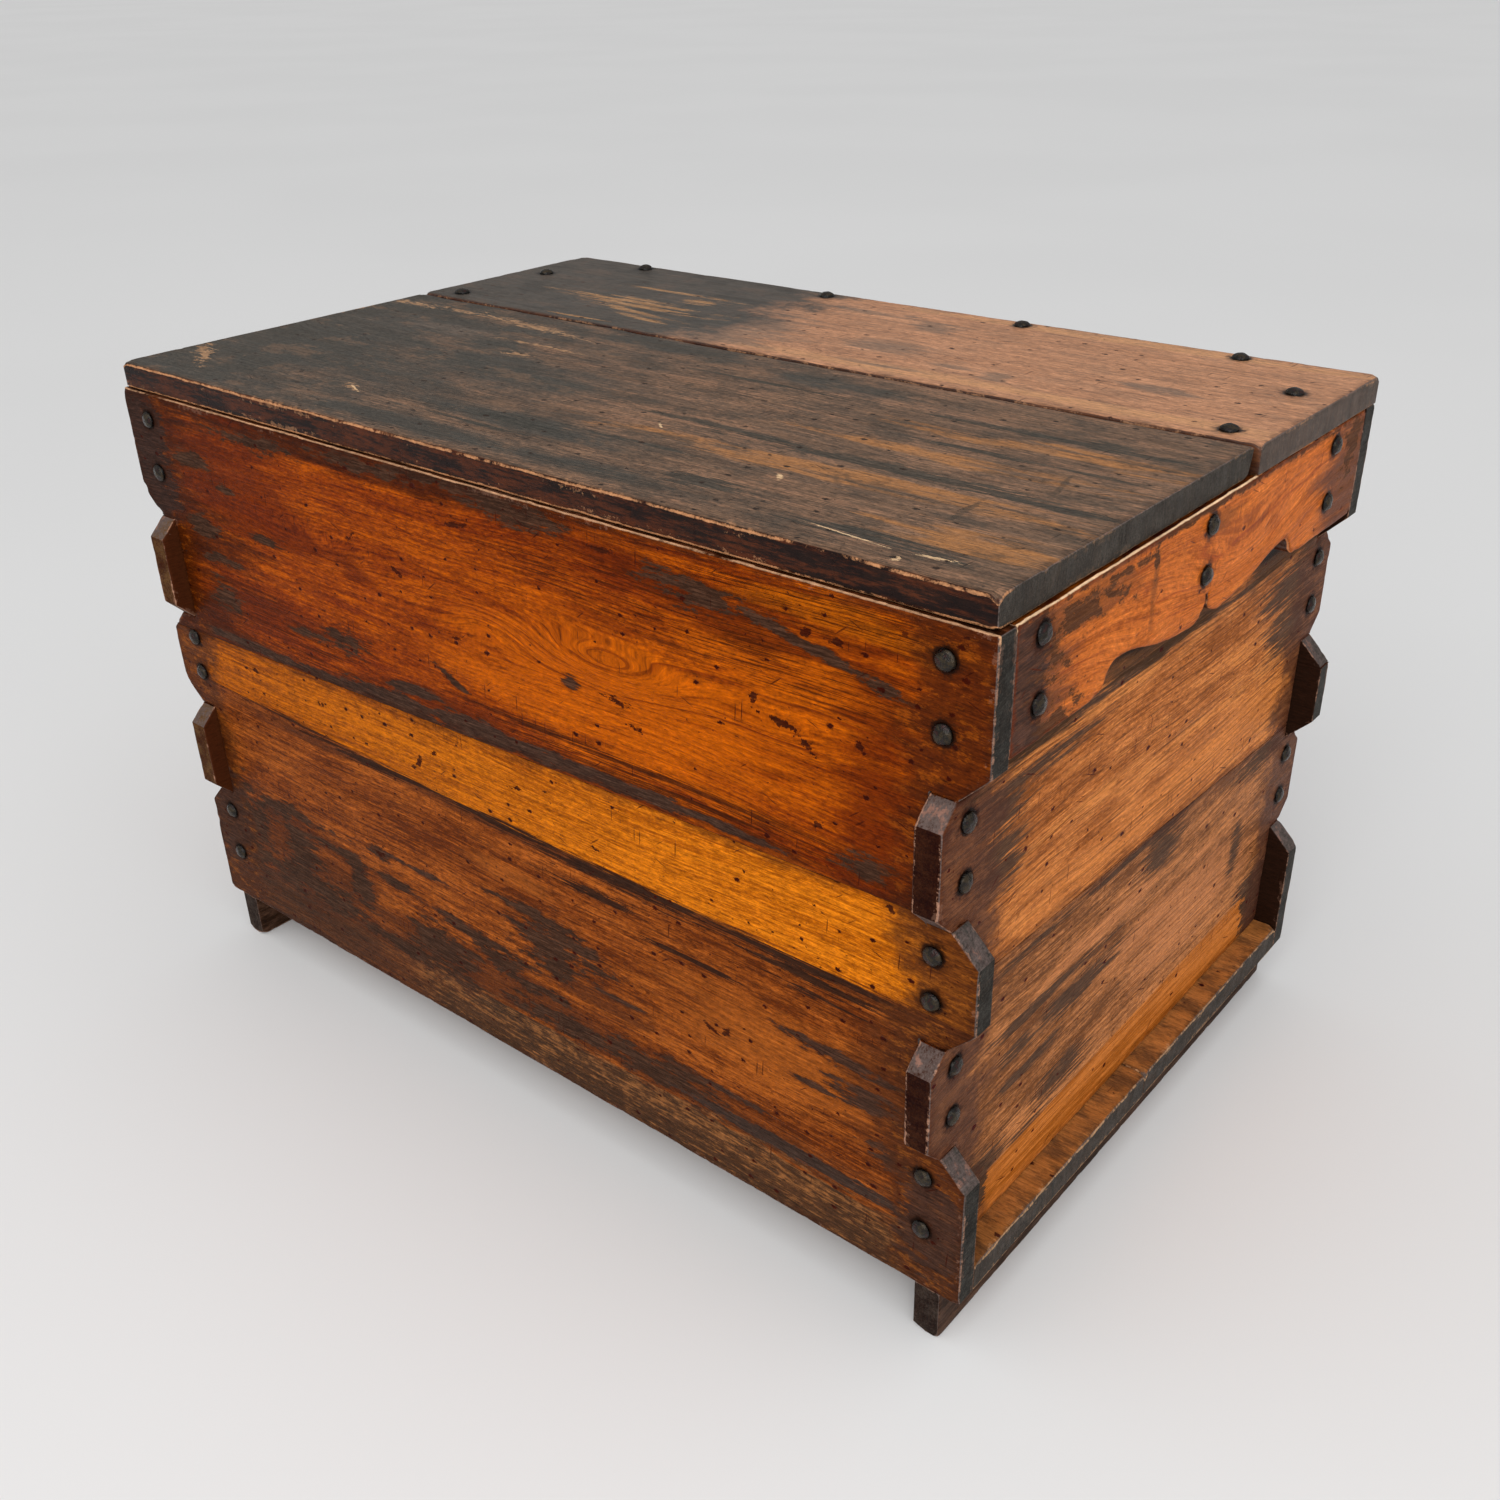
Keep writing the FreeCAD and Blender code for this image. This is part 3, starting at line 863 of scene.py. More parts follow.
    def mottled(self, dark, pale, sizes, strength=0.5, seed=60, where=1.0):
        """Cloudy stains, darker and paler than the wood."""
        stain = clouds(self.plane, sizes, self.seed + seed, detail=6.0, roughness=0.74)
        self.paint(dark, ramp(0.1, 0.9, stain) * where * strength)
        self.paint(pale, ramp(-0.3, -1.1, stain) * where * (strength * 0.7))

    def scratches(self, tilt, length, width, rarity, seed):
        """Short thin marks that lie at a tilt to the grain."""
        turned = field("ShaderNodeMapping", 0, {
            "Vector": self.plane, "Rotation": (0.0, 0.0, math.radians(tilt))}, vector_type="TEXTURE")
        return spots(turned, (length, width, 1.0), self.seed + seed, 0.09, rarity)

    def dents(self, colour, rarity=0.5):
        """Small torn pits, and thin cuts and scratches across the grain."""
        seed = self.seed + 30
        warp = field("ShaderNodeTexNoise", "Color", {
            "Vector": stretched(self.place, (2.0, 2.0, 2.0), seed), "Scale": 1.0, "Detail": 3.0})
        bent = field("ShaderNodeVectorMath", 0, {0: warp, 1: (5.0, 3.4, 0.0), 2: self.plane},
                     operation="MULTIPLY_ADD")
        pits = spots(bent, (30.0, 20.0, 1.0), seed + 1, 0.095, rarity)
        flecks = spots(bent, (11.0, 6.5, 1.0), seed + 2, 0.1, rarity + 0.16)
        cuts = most(self.scratches(86.0, 80.0, 6.0, 0.8, 33), self.scratches(38.0, 70.0, 7.0, 0.9, 35),
                    self.scratches(-24.0, 90.0, 6.0, 0.9, 36))
        crowd = ramp(-0.6, 0.5, clouds(self.plane, (90.0, 50.0, 1.0), seed + 4))
        marks = most(pits, flecks * crowd * 0.85, cuts * 0.75)
        self.paint(colour, marks)
        self.height = self.height - marks * 0.5

    def halo(self, colour, reach=6.0, strength=0.6):
        """A painted shadow in a dark ring close round each nail head, and the stain beyond it."""
        fray = self.cloudy((6.0, 6.0, 6.0), 40, detail=3.0, roughness=0.7)
        ring = ramp(HEAD_EDGE + 1.0 + reach, HEAD_EDGE, self.nail_gap + fray * 3.0)
        self.paint(colour, ring * strength)
        # painted shadow close round the head
        self.paint(NAIL_SHADE, ramp(10.6, 8.4, self.nail_gap + fray * 0.5) * 0.85)

    def rim(self, colour, reach=9.0, strength=0.6):
        """Darkening towards the edges of the board."""
        fray = self.cloudy((30.0, 12.0, 12.0), 41, detail=4.0, roughness=0.7)
        self.paint(colour, ramp(reach, 0.0, self.edge_gap + fray * reach * 0.5) * strength)

    def worn_edges(self, colour, reach=0.6, cut=-0.4, strength=0.7, chips=0.0, where=1.0, rough=1.0):
        """Bare pale wood in thin broken lines along the sharp edges, and a few chips. Along lit top
        edges the line is also a painted highlight.
        """
        fray = self.cloudy((6.0, 6.0, 6.0), 42, detail=4.0, roughness=0.8)
        gaps = self.cloudy((50.0, 50.0, 50.0), 43)
        line = ramp(reach, reach * 0.2, self.bare_gap - fray * (0.35 * rough))
        line = line * ramp(cut, cut + 1.0, gaps + fray * (0.8 * rough))
        torn = ramp(3.2, 2.4, self.bare_gap - fray * 1.5) * ramp(0.8, 1.0, fray * 0.8 + gaps)
        self.paint(colour, most(line, torn * chips) * strength * where)

    def painted_shade_under_cover(self, colour, reach=38.0, strength=0.85):
        """Painted shade beside the board that covers this one, with old grime in it, and a painted
        black shadow right under that board.
        """
        cover_gap = measure("cover_gap")
        fray = self.streaky(44.0, 5.0, 46, detail=5.0, roughness=0.75)
        # painted shade, partly old grime, fading out from the covering board
        self.paint(colour, ramp(reach, reach * 0.6, cover_gap + fray * 6.0) * strength)
        # painted black shadow right under the covering board
        self.paint(CREVICE_SHADOW, ramp(20.0, 9.0, cover_gap + fray) * 0.88)

    def end_grain(self, dark, pale, slant=SLANT_SHEEN_GREY):
        """Faces that cut across the board: dark square ones, and slanting ones greyer with a painted
        sheen.
        """
        across = size_of(self.facing_u)
        pores = self.cloudy((3.0, 1.6, 1.2), 44, detail=3.0, roughness=0.7)
        bands = self.cloudy((30.0, 16.0, 14.0), 45, detail=4.0, roughness=0.7)
        mix = pores * 0.45 + bands * 0.5
        square = self.light.blend(dark, pale, ramp(-0.8, 1.2, mix))
        # the slanting faces' grey is a painted sheen
        slanting = self.light.blend(pale, slant, ramp(-1.0, 0.4, mix))
        slanting = layered(slanting, self.light.tone(SALMON), ramp(0.7, 1.4, bands) * 0.4)
        mask = ramp(0.45, 0.7, across) * 0.96
        self.paint(layered(square, slanting, ramp(0.93, 0.85, across)), mask)
        self.height = self.height + pores * mask * 0.1
        self.roughness = self.roughness + mask * 0.15

    def side_grain(self, dark, pale, strength=0.9):
        """The long narrow faces of a board, battered and dirty."""
        mottle = self.cloudy((34.0, 9.0, 4.0), 47, detail=5.0, roughness=0.8)
        broad = self.cloudy((90.0, 30.0, 30.0), 48)
        shade = self.light.blend(dark, pale, ramp(-0.7, 0.9, mottle + broad * 0.5))
        self.paint(shade, ramp(0.5, 0.8, size_of(self.facing_v)) * strength)

    def inner_face(self, inward, reach, outside):
        """Dull bare wood on the face inside the chest, and dark wood on its ears beyond."""
        level = ramp(-0.9, 0.9, self.middle * 0.6 + self.fine * 0.6)
        shade = self.light.blend(INSIDE_DARK, INSIDE_PALE, level)
        beyond = ramp(reach - 1.0, reach + 1.0, size_of(self.u))
        shade = layered(shade, self.light.tone(outside), beyond)
        mask = ramp(0.4, 0.7, self.facing_t * inward)
        self.paint(shade, mask)
        self.roughness = self.roughness + mask * 0.2

    def ear_zones(self, edge, colour, pale, strength=0.85):
        """The darker ends of a plank, past a soft upright border, mottled with a paler shade."""
        ovals = [(side * (edge + 60.0), 300.0, 60.0, 900.0) for side in (-1, 1)]
        fray = self.cloudy((46.0, 30.0, 30.0), 13, detail=5.0, roughness=0.7)
        zone = ramp(1.3, 0.8, nearest_oval(self.plane, ovals) + fray * 0.22)
        blots = self.streaky(16.0, 7.0, 14, detail=5.0, roughness=0.75, depth=12.0)
        self.paint(self.light.blend(colour, pale, ramp(0.1, 1.0, blots) * 0.8), zone * strength)

    def finished(self, specular, crisp=1.0):
        """The material, with fine grain in its colour as strong as crisp says."""
        grain_shade = 1.0 + self.grit * (GRIT_SHADE * crisp) + self.fine * (FINE_SHADE * crisp)
        colour = field("ShaderNodeVectorMath", 0, {0: self.colour, "Scale": grain_shade},
                       operation="SCALE")
        surface(colour, self.roughness, self.height, **{"Specular IOR Level": specular})
        return self.material

    def finished_outer(self, outward, reach, ends, specular, rim_strength=0.5, top_edge=None,
                       crisp=1.0, ear_back=EAR_DARK):
        """What the outer planks share: nail halos, dark rims, worn edges, ends and inner faces."""
        self.halo((48, 26, 17))
        self.rim((58, 30, 20), strength=rim_strength)
        self.side_grain((40, 24, 18), (88, 50, 32))
        self.end_grain(*ends)
        self.inner_face(-outward, reach, ear_back)
        self.worn_edges(EDGE_PINK, chips=0.25)
        # the line along the top edge is worn wood and a painted highlight
        if top_edge:
            top = ramp(TOP_EDGE - 3.0, TOP_EDGE, self.v)
            self.worn_edges(top_edge, reach=1.0, cut=-1.7, strength=0.9, where=top, rough=0.35)
        return self.finished(specular, crisp)


def front_upper_wood():
    wood = Wood("front_upper_wood", 0, 2, 1, FRONT_LIGHT, swirls=[
        (140, 471, 78, 18, 30.0), (290, 468, 60, 12, 9.0), (15, 470, 50, 14, -11.0),
        (-215, 486, 90, 15, 14.0)])
    wood.base((116, 44, 4), (144, 62, 6), (172, 80, 8), contrast=0.75)
    wood.wash((198, 95, 7), [(150, 450, 180, 56), (300, 508, 90, 30)], strength=0.72, seed=9)
    wood.year_lines((96, 32, 4), spacing=15.0, drift=8.0, reach=0.34, strength=0.8)
    wood.year_lines((112, 42, 5), spacing=5.0, drift=5.0, reach=0.5, strength=0.4, seed=50)
    wood.wash((54, 24, 12), [(-510, 470, 185, 500), (-430, 366, 150, 12), (-240, 578, 330, 12),
                             (-80, 575, 220, 15), (-375, 448, 40, 30), (392, 382, 30, 16)],
              strength=0.9, seed=11)
    wood.wash((98, 36, 9), [(-290, 520, 80, 40), (-235, 487, 52, 14, -4), (-150, 478, 26, 8, -14),
                            (-290, 405, 90, 12), (-60, 386, 70, 6, 3), (240, 541, 110, 14, -7),
                            (375, 440, 30, 110), (-330, 500, 50, 12)],
              strength=0.75, wander=0.5, seed=12)
    wood.wash((172, 92, 14), [(345, 562, 80, 12)], strength=0.45, seed=15)
    streaked = ramp(1.5, 0.8, nearest_oval(wood.plane, [(325, 562, 100, 16), (200, 390, 210, 12),
                                                       (-300, 390, 120, 30), (240, 525, 200, 22, -4)]))
    wood.streaks((70, 30, 10), where=streaked, length=70.0, width=1.4, cut=0.1, strength=0.85)
    wood.streaks((104, 38, 6), length=120.0, width=1.6, cut=0.7, strength=0.6, seed=8)
    wood.patina(SLATE, SLATE_PALE, [
        (-262, 562, 50, 6), (-120, 572, 52, 6), (56, 567, 46, 8), (-30, 576, 80, 4),
        (228, 548, 44, 9, -5), (320, 536, 70, 4, -12), (-168, 409, 24, 8), (-205, 400, 36, 5),
        (-40, 411, 16, 2.6, -22), (100, 448, 6, 4.4), (-350, 404, 22, 12),
        (-366, 470, 22, 10), (-362, 530, 24, 7), (-270, 476, 18, 4), (-335, 442, 26, 5),
        (-320, 512, 14, 4), (362, 392, 20, 10)],
        ring=(88, 38, 14))
    wood.patina((56, 40, 33), (82, 60, 48), [
        (-210, 362, 60, 5), (-120, 368, 60, 10), (-88, 386, 36, 5, 4), (-20, 373, 56, 10, 2),
        (60, 374, 70, 7), (150, 376, 70, 6, 1), (240, 378, 60, 4), (-330, 362, 90, 5)],
        ring=(84, 36, 14), ragged=0.28, seed=23)
    wood.streaks((66, 30, 14), where=ramp(1.3, 0.7, nearest_oval(wood.plane, [(150, 398, 190, 3),
                                                                           (190, 386, 90, 3, 1)])),
                 length=160.0, width=1.6, cut=-0.6, strength=0.85, seed=18)
    wood.ear_zones(396.0, (74, 34, 17), (140, 70, 20), strength=0.8)
    wood.patina((50, 35, 30), (68, 47, 40), [(-434, 520, 34, 90)], ragged=0.3, seed=24)
    wood.patina(PIT_BROWN, (70, 34, 20), [
        (160, 430, 7, 2.6, 10), (146, 446, 11, 2.4, -8), (-12, 545, 10, 1.8, 10),
        (300, 476, 12, 1.8, -8), (318, 466, 6, 2.6, -30), (274, 490, 4, 2.6, 50),
        (318, 545, 5, 2.6, 30), (-94, 491, 9, 1.4, -30), (341, 545, 5, 3), (-143, 508, 4, 2, 40),
        (360, 480, 3.4, 2.6), (326, 410, 3, 3), (-25, 449, 6, 1.6, 10), (140, 560, 10, 1.6)],
        ragged=0.9, length=9.0, width=6.0, seed=27)
    wood.dents(PIT_BROWN)
    wood.worn_edges(EDGE_WHITE, reach=1.1, cut=-0.8, where=ramp(452.0, 456.0, size_of(wood.u)))
    # the peach line along the top edge is worn wood and a painted highlight
    return wood.finished_outer(-1.0, INNER_HALF_LENGTH, (END_SLATE, END_ASH), specular=0.03,
                               top_edge=EDGE_PEACH_HIGHLIGHT, crisp=1.2)


def front_lower_wood():
    wood = Wood("front_lower_wood", 0, 2, 2, FRONT_LIGHT)
    wood.base((102, 47, 17), (136, 68, 24), (166, 88, 32), contrast=0.85)
    wood.year_lines((80, 36, 15), spacing=7.0, drift=6.0, reach=0.4, strength=0.6)
    wood.streaks((72, 36, 20), length=80.0, width=1.6, cut=0.45, strength=0.7)
    wood.wash((164, 88, 32), [(280, 200, 110, 34), (0, 242, 50, 11)], strength=0.6, seed=9)
    wood.wash((84, 44, 24), [(-330, 130, 150, 50), (-60, 118, 220, 26), (200, 112, 260, 14),
                             (385, 215, 34, 50), (40, 290, 480, 7), (100, 158, 60, 12)],
              strength=0.8, seed=11)
    band = ramp(103.0, 94.0, wood.v + wood.middle * 5.0 + wood.streaky(30.0, 5.0, 14) * 4.0)
    rough = wood.streaky(46.0, 2.0, 15, detail=6.0, roughness=0.75)
    blots = wood.cloudy((14.0, 5.0, 8.0), 19, detail=4.0, roughness=0.7)
    lower = ramp(77.0, 68.0, wood.v + wood.middle * 4.0)
    rough_shade = wood.light.blend((62, 46, 34), (146, 96, 56),
                                   ramp(-0.45, 0.9, rough * 0.6 + blots * 0.6 - lower * 0.5))
    wood.paint(rough_shade, band * ramp(-240.0, -90.0, wood.u) * 0.9)
    wood.paint((58, 41, 31), band * ramp(-90.0, -240.0, wood.u) * 0.8)
    wood.patina(SLATE, SLATE_PALE, [
        (-400, 150, 46, 46), (-335, 187, 56, 9), (-306, 140, 26, 40), (-290, 112, 70, 18),
        (-212, 150, 14, 28), (-240, 172, 60, 5), (-165, 170, 30, 4), (-102, 120, 44, 26),
        (-150, 98, 70, 7), (-40, 157, 54, 6), (-18, 145, 22, 12), (20, 134, 34, 7),
        (46, 184, 34, 24), (76, 203, 34, 8, -8), (30, 214, 46, 5), (104, 190, 20, 7),
        (60, 112, 60, 10), (150, 118, 60, 14), (190, 130, 22, 9), (-176, 195, 12, 5)],
        ring=(84, 42, 22))
    wood.patina((60, 42, 34), (86, 58, 44), [
        (345, 222, 44, 5), (372, 196, 30, 9), (395, 152, 24, 9), (330, 186, 30, 3),
        (-130, 198, 50, 2.4), (-80, 165, 30, 2.4), (130, 170, 30, 2.4), (240, 134, 50, 2.4)],
        ring=(84, 42, 22), seed=25)
    wood.patina((58, 44, 38), (74, 58, 50), [(310, 110, 118, 7)], ragged=0.2, seed=26)
    wood.patina((52, 32, 24), SLATE, [
        (-250, 300, 160, 3, -1), (-140, 293, 95, 5), (10, 292, 90, 6), (140, 290, 90, 9),
        (112, 265, 56, 4), (330, 280, 60, 4), (310, 290, 110, 4), (-330, 303, 80, 2.4, -1),
        (210, 246, 40, 2), (330, 268, 40, 2)], seed=22, length=70.0, width=2.6)
    strip_foot = 294.0 + (wood.u - 150.0) * (wood.u - 150.0) * (9.0 / 550.0 ** 2)
    strip = ramp(-1.6, 1.6, wood.v - strip_foot + wood.middle * 2.0 + wood.fine * 1.2)
    strip_level = 0.5 + wood.middle * 0.24 + wood.fine * 0.34 + wood.broad * 0.2 + wood.grit * 0.2
    along = ramp(-400.0, 350.0, wood.u)
    dark_strip = wood.light.blend((142, 70, 5), (176, 90, 8), along)
    pale_strip = wood.light.blend((180, 94, 14), (214, 120, 22), along)
    wood.paint(layered(dark_strip, pale_strip, ramp(0.0, 1.0, strip_level)), strip)
    wood.streaks((150, 70, 12), length=120.0, width=1.4, cut=0.5, strength=0.6, where=strip, seed=28)
    wood.ear_zones(394.0, (78, 42, 24), (132, 74, 30))
    wood.patina((60, 42, 36), (76, 54, 44), [(-428, 150, 34, 60), (430, 110, 30, 44)], ragged=0.3,
                seed=24, strength=0.8)
    wood.patina(PIT_BROWN, (74, 40, 24), [
        (-96, 318, 7, 2, 50), (-104, 309, 4, 1.6), (-225, 332, 4, 2), (-326, 336, 4, 1.6),
        (60, 341, 5, 1.4), (24, 333, 5, 1.6, 10), (110, 308, 4, 1.6), (-76, 331, 5, 1.6, 20),
        (386, 369, 2.4, 3), (240, 194, 4, 3, 50), (224, 190, 5, 1.8, -20), (-176, 194, 8, 3, -20)],
        ragged=0.9, length=9.0, width=6.0, seed=27)
    wood.dents(PIT_BROWN, rarity=0.4)
    return wood.finished_outer(-1.0, INNER_HALF_LENGTH, (END_SLATE, END_ASH), specular=0.03, crisp=1.2)


BACK_SEAM = (0, 354, 560, 9, -1.2)     # an oval along the seam between the back planks


def back_wood(name, seed, tones, knot_height, ovals):
    wood = Wood(name, 0, 2, seed, FRONT_LIGHT, swirls=[(-120 + 40 * seed, knot_height, 70, 18, 22.0)])
    wood.base(*tones)
    wood.year_lines((92, 36, 8), spacing=12.0, strength=0.7)
    wood.streaks((84, 36, 14), length=110.0, cut=0.4)
    wood.wash((56, 28, 16), [BACK_SEAM], strength=0.92, seed=11)
    wood.patina(SLATE, SLATE_PALE, ovals, ring=(88, 40, 16))
    wood.ear_zones(404.0, EAR_BROWN, (128, 70, 30))
    wood.dents(PIT_BROWN)
    return wood.finished_outer(1.0, INNER_HALF_LENGTH, (END_SLATE, END_ASH), specular=0.05)


def end_wood(name, seed, outward, upper):
    wood = Wood(name, 1, 2, seed, END_LIGHT)
    if upper:
        wood.base((144, 84, 46), (182, 110, 62), (208, 132, 74), fine_width=1.2)
        wood.wash((212, 132, 72), [(60, 328, 260, 24, 2), (170, 332, 110, 14, 2)], strength=0.6, seed=9)
        # the long thin oval at height 466 is painted shade under the batten; the others are grime
        dirt_and_shade_ovals = [(-236, 432, 28, 12), (-236, 398, 26, 22), (222, 436, 50, 16), (236, 402, 44, 28),
                (-60, 466, 260, 4), (-190, 446, 60, 5)]
    else:
        wood.base((116, 76, 52), (160, 105, 68), (192, 126, 80), fine_width=1.2)
        wood.wash((196, 128, 84), [(90, 180, 110, 40), (0, 205, 60, 20), (-60, 250, 90, 8)],
                  strength=0.65, seed=9)
        dirt_and_shade_ovals = [(28, 276, 30, 17), (-105, 214, 60, 10), (-190, 212, 24, 8), (-170, 186, 40, 6),
                (-120, 141, 36, 13), (-166, 114, 26, 8), (215, 276, 50, 10), (-150, 236, 80, 5),
                (-20, 296, 240, 3), (240, 124, 28, 24), (-230, 124, 22, 14), (186, 196, 10, 24)]
    if outward < 0:
        dirt_and_shade_ovals = [(25.0 - 0.85 * u, v - 5.0, *rest) for u, v, *rest in dirt_and_shade_ovals]
    wood.year_lines((104, 60, 34), spacing=6.0, drift=5.0, reach=0.5, strength=0.65)
    wood.streaks((92, 58, 40), length=140.0, width=1.2, cut=0.35, strength=0.65)
    wood.patina((74, 60, 53), (98, 76, 63), dirt_and_shade_ovals, ring=(116, 77, 54), ragged=0.75, strength=0.9,
                length=70.0, width=2.8)
    if not upper:
        foot = ramp(1.5, -1.5, wood.v - 118.0 - (wood.u + 100.0) * 0.012 + wood.fine * 0.8)
        foot_shade = wood.light.blend((158, 92, 46), (194, 118, 62),
                                      ramp(-0.8, 0.8, wood.middle + wood.fine * 0.6))
        wood.paint(foot_shade, foot)
        wood.patina((70, 58, 50), (92, 74, 62), [(254, 104, 26, 40), (-246, 110, 20, 30)], ragged=0.3,
                    seed=24)
    wood.ear_zones(240.0, (84, 60, 52), (110, 76, 60))
    if upper:
        # painted shade and old grime below the batten
        wood.painted_shade_under_cover((72, 54, 42))
    wood.dents((70, 36, 20), rarity=0.6)
    ends = (END_BLACK, END_BROWN) if outward > 0 else (EAR_UMBER, EAR_OLIVE)
    return wood.finished_outer(outward, INNER_HALF_DEPTH, ends, specular=0.03, rim_strength=0.4,
                               crisp=0.6, ear_back=EAR_RED)


def batten_wood(name, seed):
    wood = Wood(name, 1, 2, seed, END_LIGHT,
                swirls=[(60, 520, 110, 30, 30.0), (-120, 505, 60, 24, 12.0)])
    wood.base((162, 84, 38), (194, 106, 50), (214, 124, 60), contrast=0.6)
    wood.year_lines((132, 58, 26), spacing=17.0, drift=8.0, reach=0.22, strength=0.75)
    wood.year_lines((150, 74, 34), spacing=6.0, drift=5.0, reach=0.5, strength=0.4, seed=50)
    wood.wash((88, 60, 50), [(258, 530, 60, 80), (-262, 530, 58, 80), (0, 580, 300, 5)],
              strength=0.88, seed=11)
    wood.wash((128, 74, 42), [(-180, 562, 60, 12), (-95, 545, 4, 30), (10, 562, 30, 7)],
              strength=0.7, seed=15, length=20.0, width=10.0)
    wood.patina((66, 50, 42), (96, 68, 52), [
        (-252, 545, 24, 36), (-236, 496, 34, 9), (-200, 560, 34, 8), (-160, 562, 22, 5, -20),
        (-130, 570, 30, 3), (-95, 560, 2.4, 16), (60, 577, 240, 2.4), (250, 560, 16, 24)],
        ring=(126, 74, 42), ragged=0.9, strength=0.8, length=14.0, width=8.0)
    wood.patina((64, 54, 52), (94, 68, 58), [(-268, 540, 30, 50), (-262, 500, 22, 30)], ragged=0.45,
                strength=0.8, seed=24)
    wood.dents((88, 46, 28), rarity=0.7)
    wood.halo((66, 42, 32), reach=7.0)
    wood.rim((110, 54, 28), reach=4.0, strength=0.5)
    wood.end_grain(END_BLACK, END_BROWN)
    wood.side_grain((52, 32, 22), (110, 62, 36))
    wood.worn_edges((224, 146, 94), reach=0.8, strength=0.7, rough=0.5)
    # cream line along the lit top edge: worn wood and a painted highlight
    lit_edge = ramp(TOP_EDGE - 1.5, TOP_EDGE + 0.5, wood.v) * ramp(62.0, 58.0, wood.u)
    wood.worn_edges(EDGE_CREAM_HIGHLIGHT, reach=1.0, cut=-1.9, strength=0.95, where=lit_edge, rough=0.3)
    return wood.finished(specular=0.05, crisp=0.7)


def lid_wood():
    wood = Wood("lid_board_wood", 0, 1, 31, LID_LIGHT)
    wood.base((88, 70, 57), (114, 89, 71), (142, 106, 82), contrast=0.8, fine_width=1.3)
    wood.year_lines((80, 60, 48), spacing=9.0, drift=8.0, reach=0.4, strength=0.55)
    wood.wash((168, 114, 68), [(240, -170, 160, 13), (340, -42, 90, 11),
                               (290, -98, 90, 10), (400, -225, 50, 14)], strength=0.88, wander=0.75,
              seed=9)
    wood.wash((66, 65, 60), [(-480, -100, 320, 400), (-90, 30, 120, 24), (-160, -110, 130, 44),
                             (-20, -212, 130, 18), (-60, -262, 240, 12), (110, 14, 90, 16)],
              strength=0.9, inner=0.4, outer=1.6, wander=0.3, seed=11, length=70.0, width=34.0)
    wood.wash((112, 96, 84), [(-300, -34, 60, 12)], strength=0.6, seed=15)
    wood.mottled((66, 60, 53), (134, 102, 78), (58.0, 30.0, 1.0), strength=0.5)
    wood.streaks((66, 58, 50), length=90.0, width=1.6, cut=0.4, strength=0.5)
    wood.streaks((150, 112, 84), length=60.0, width=1.3, cut=0.6, strength=0.35, seed=8,
                 where=ramp(-200.0, 50.0, wood.u))
    wood.patina((58, 57, 52), (78, 73, 66), [
        (320, -13, 110, 5), (370, -10, 26, 9), (320, -71, 90, 3), (280, -138, 130, 8),
        (130, -132, 90, 5, -1), (400, -143, 80, 4), (-24, -211, 50, 8), (70, -196, 70, 3),
        (190, -236, 30, 9), (340, -254, 60, 7), (-60, -232, 60, 3), (60, -14, 60, 3)],
        ragged=0.6, strength=0.85, length=60.0, width=3.4)
    wood.wash((60, 54, 46), [(360, -180, 2.6, 24, 3), (386, -104, 2.4, 26, 14), (15, -56, 5, 5)],
              strength=0.55, wander=0.3, inner=0.6, outer=1.3, seed=14, length=8.0, width=8.0)
    wood.patina((150, 114, 84), (184, 146, 112), [
        (-425, 18, 34, 4), (-350, 22, 30, 3, -4), (-250, 16, 50, 5, -6), (-185, -33, 38, 2.2),
        (-180, -66, 10, 5), (-212, -221, 10, 3, -24), (-418, -226, 30, 5, -35), (-452, -30, 3, 24)],
        ragged=1.1, strength=0.92, length=12.0, width=3.0, seed=26)
    wood.patina((206, 168, 126), (224, 192, 154), [
        (392, -261, 13, 1.6, 6), (372, -275, 3, 2.4, -60), (325, -260, 26, 0.8, -6),
        (73, -154, 5, 1, -40), (222, -197, 6, 2, -50), (-205, -223, 9, 1, -24)],
        ragged=0.6, length=9.0, width=2.0, seed=29)
    wood.dents((50, 38, 31), rarity=0.5)
    wood.rim((66, 50, 40), reach=6.0, strength=0.5)
    wood.side_grain((24, 15, 12), (68, 33, 19), strength=0.97)
    wood.end_grain((48, 44, 40), (70, 65, 59))
    wood.inner_face(-1.0, 900.0, EAR_DARK)
    wood.worn_edges((142, 108, 80), reach=0.5, cut=0.0, strength=0.5, chips=0.3)
    wood.worn_edges((184, 130, 90), reach=0.8, cut=-1.2, strength=0.85, chips=0.3, rough=0.6,
                    where=ramp(-270.0, -280.0, wood.v))
    return wood.finished(specular=0.12, crisp=1.1)


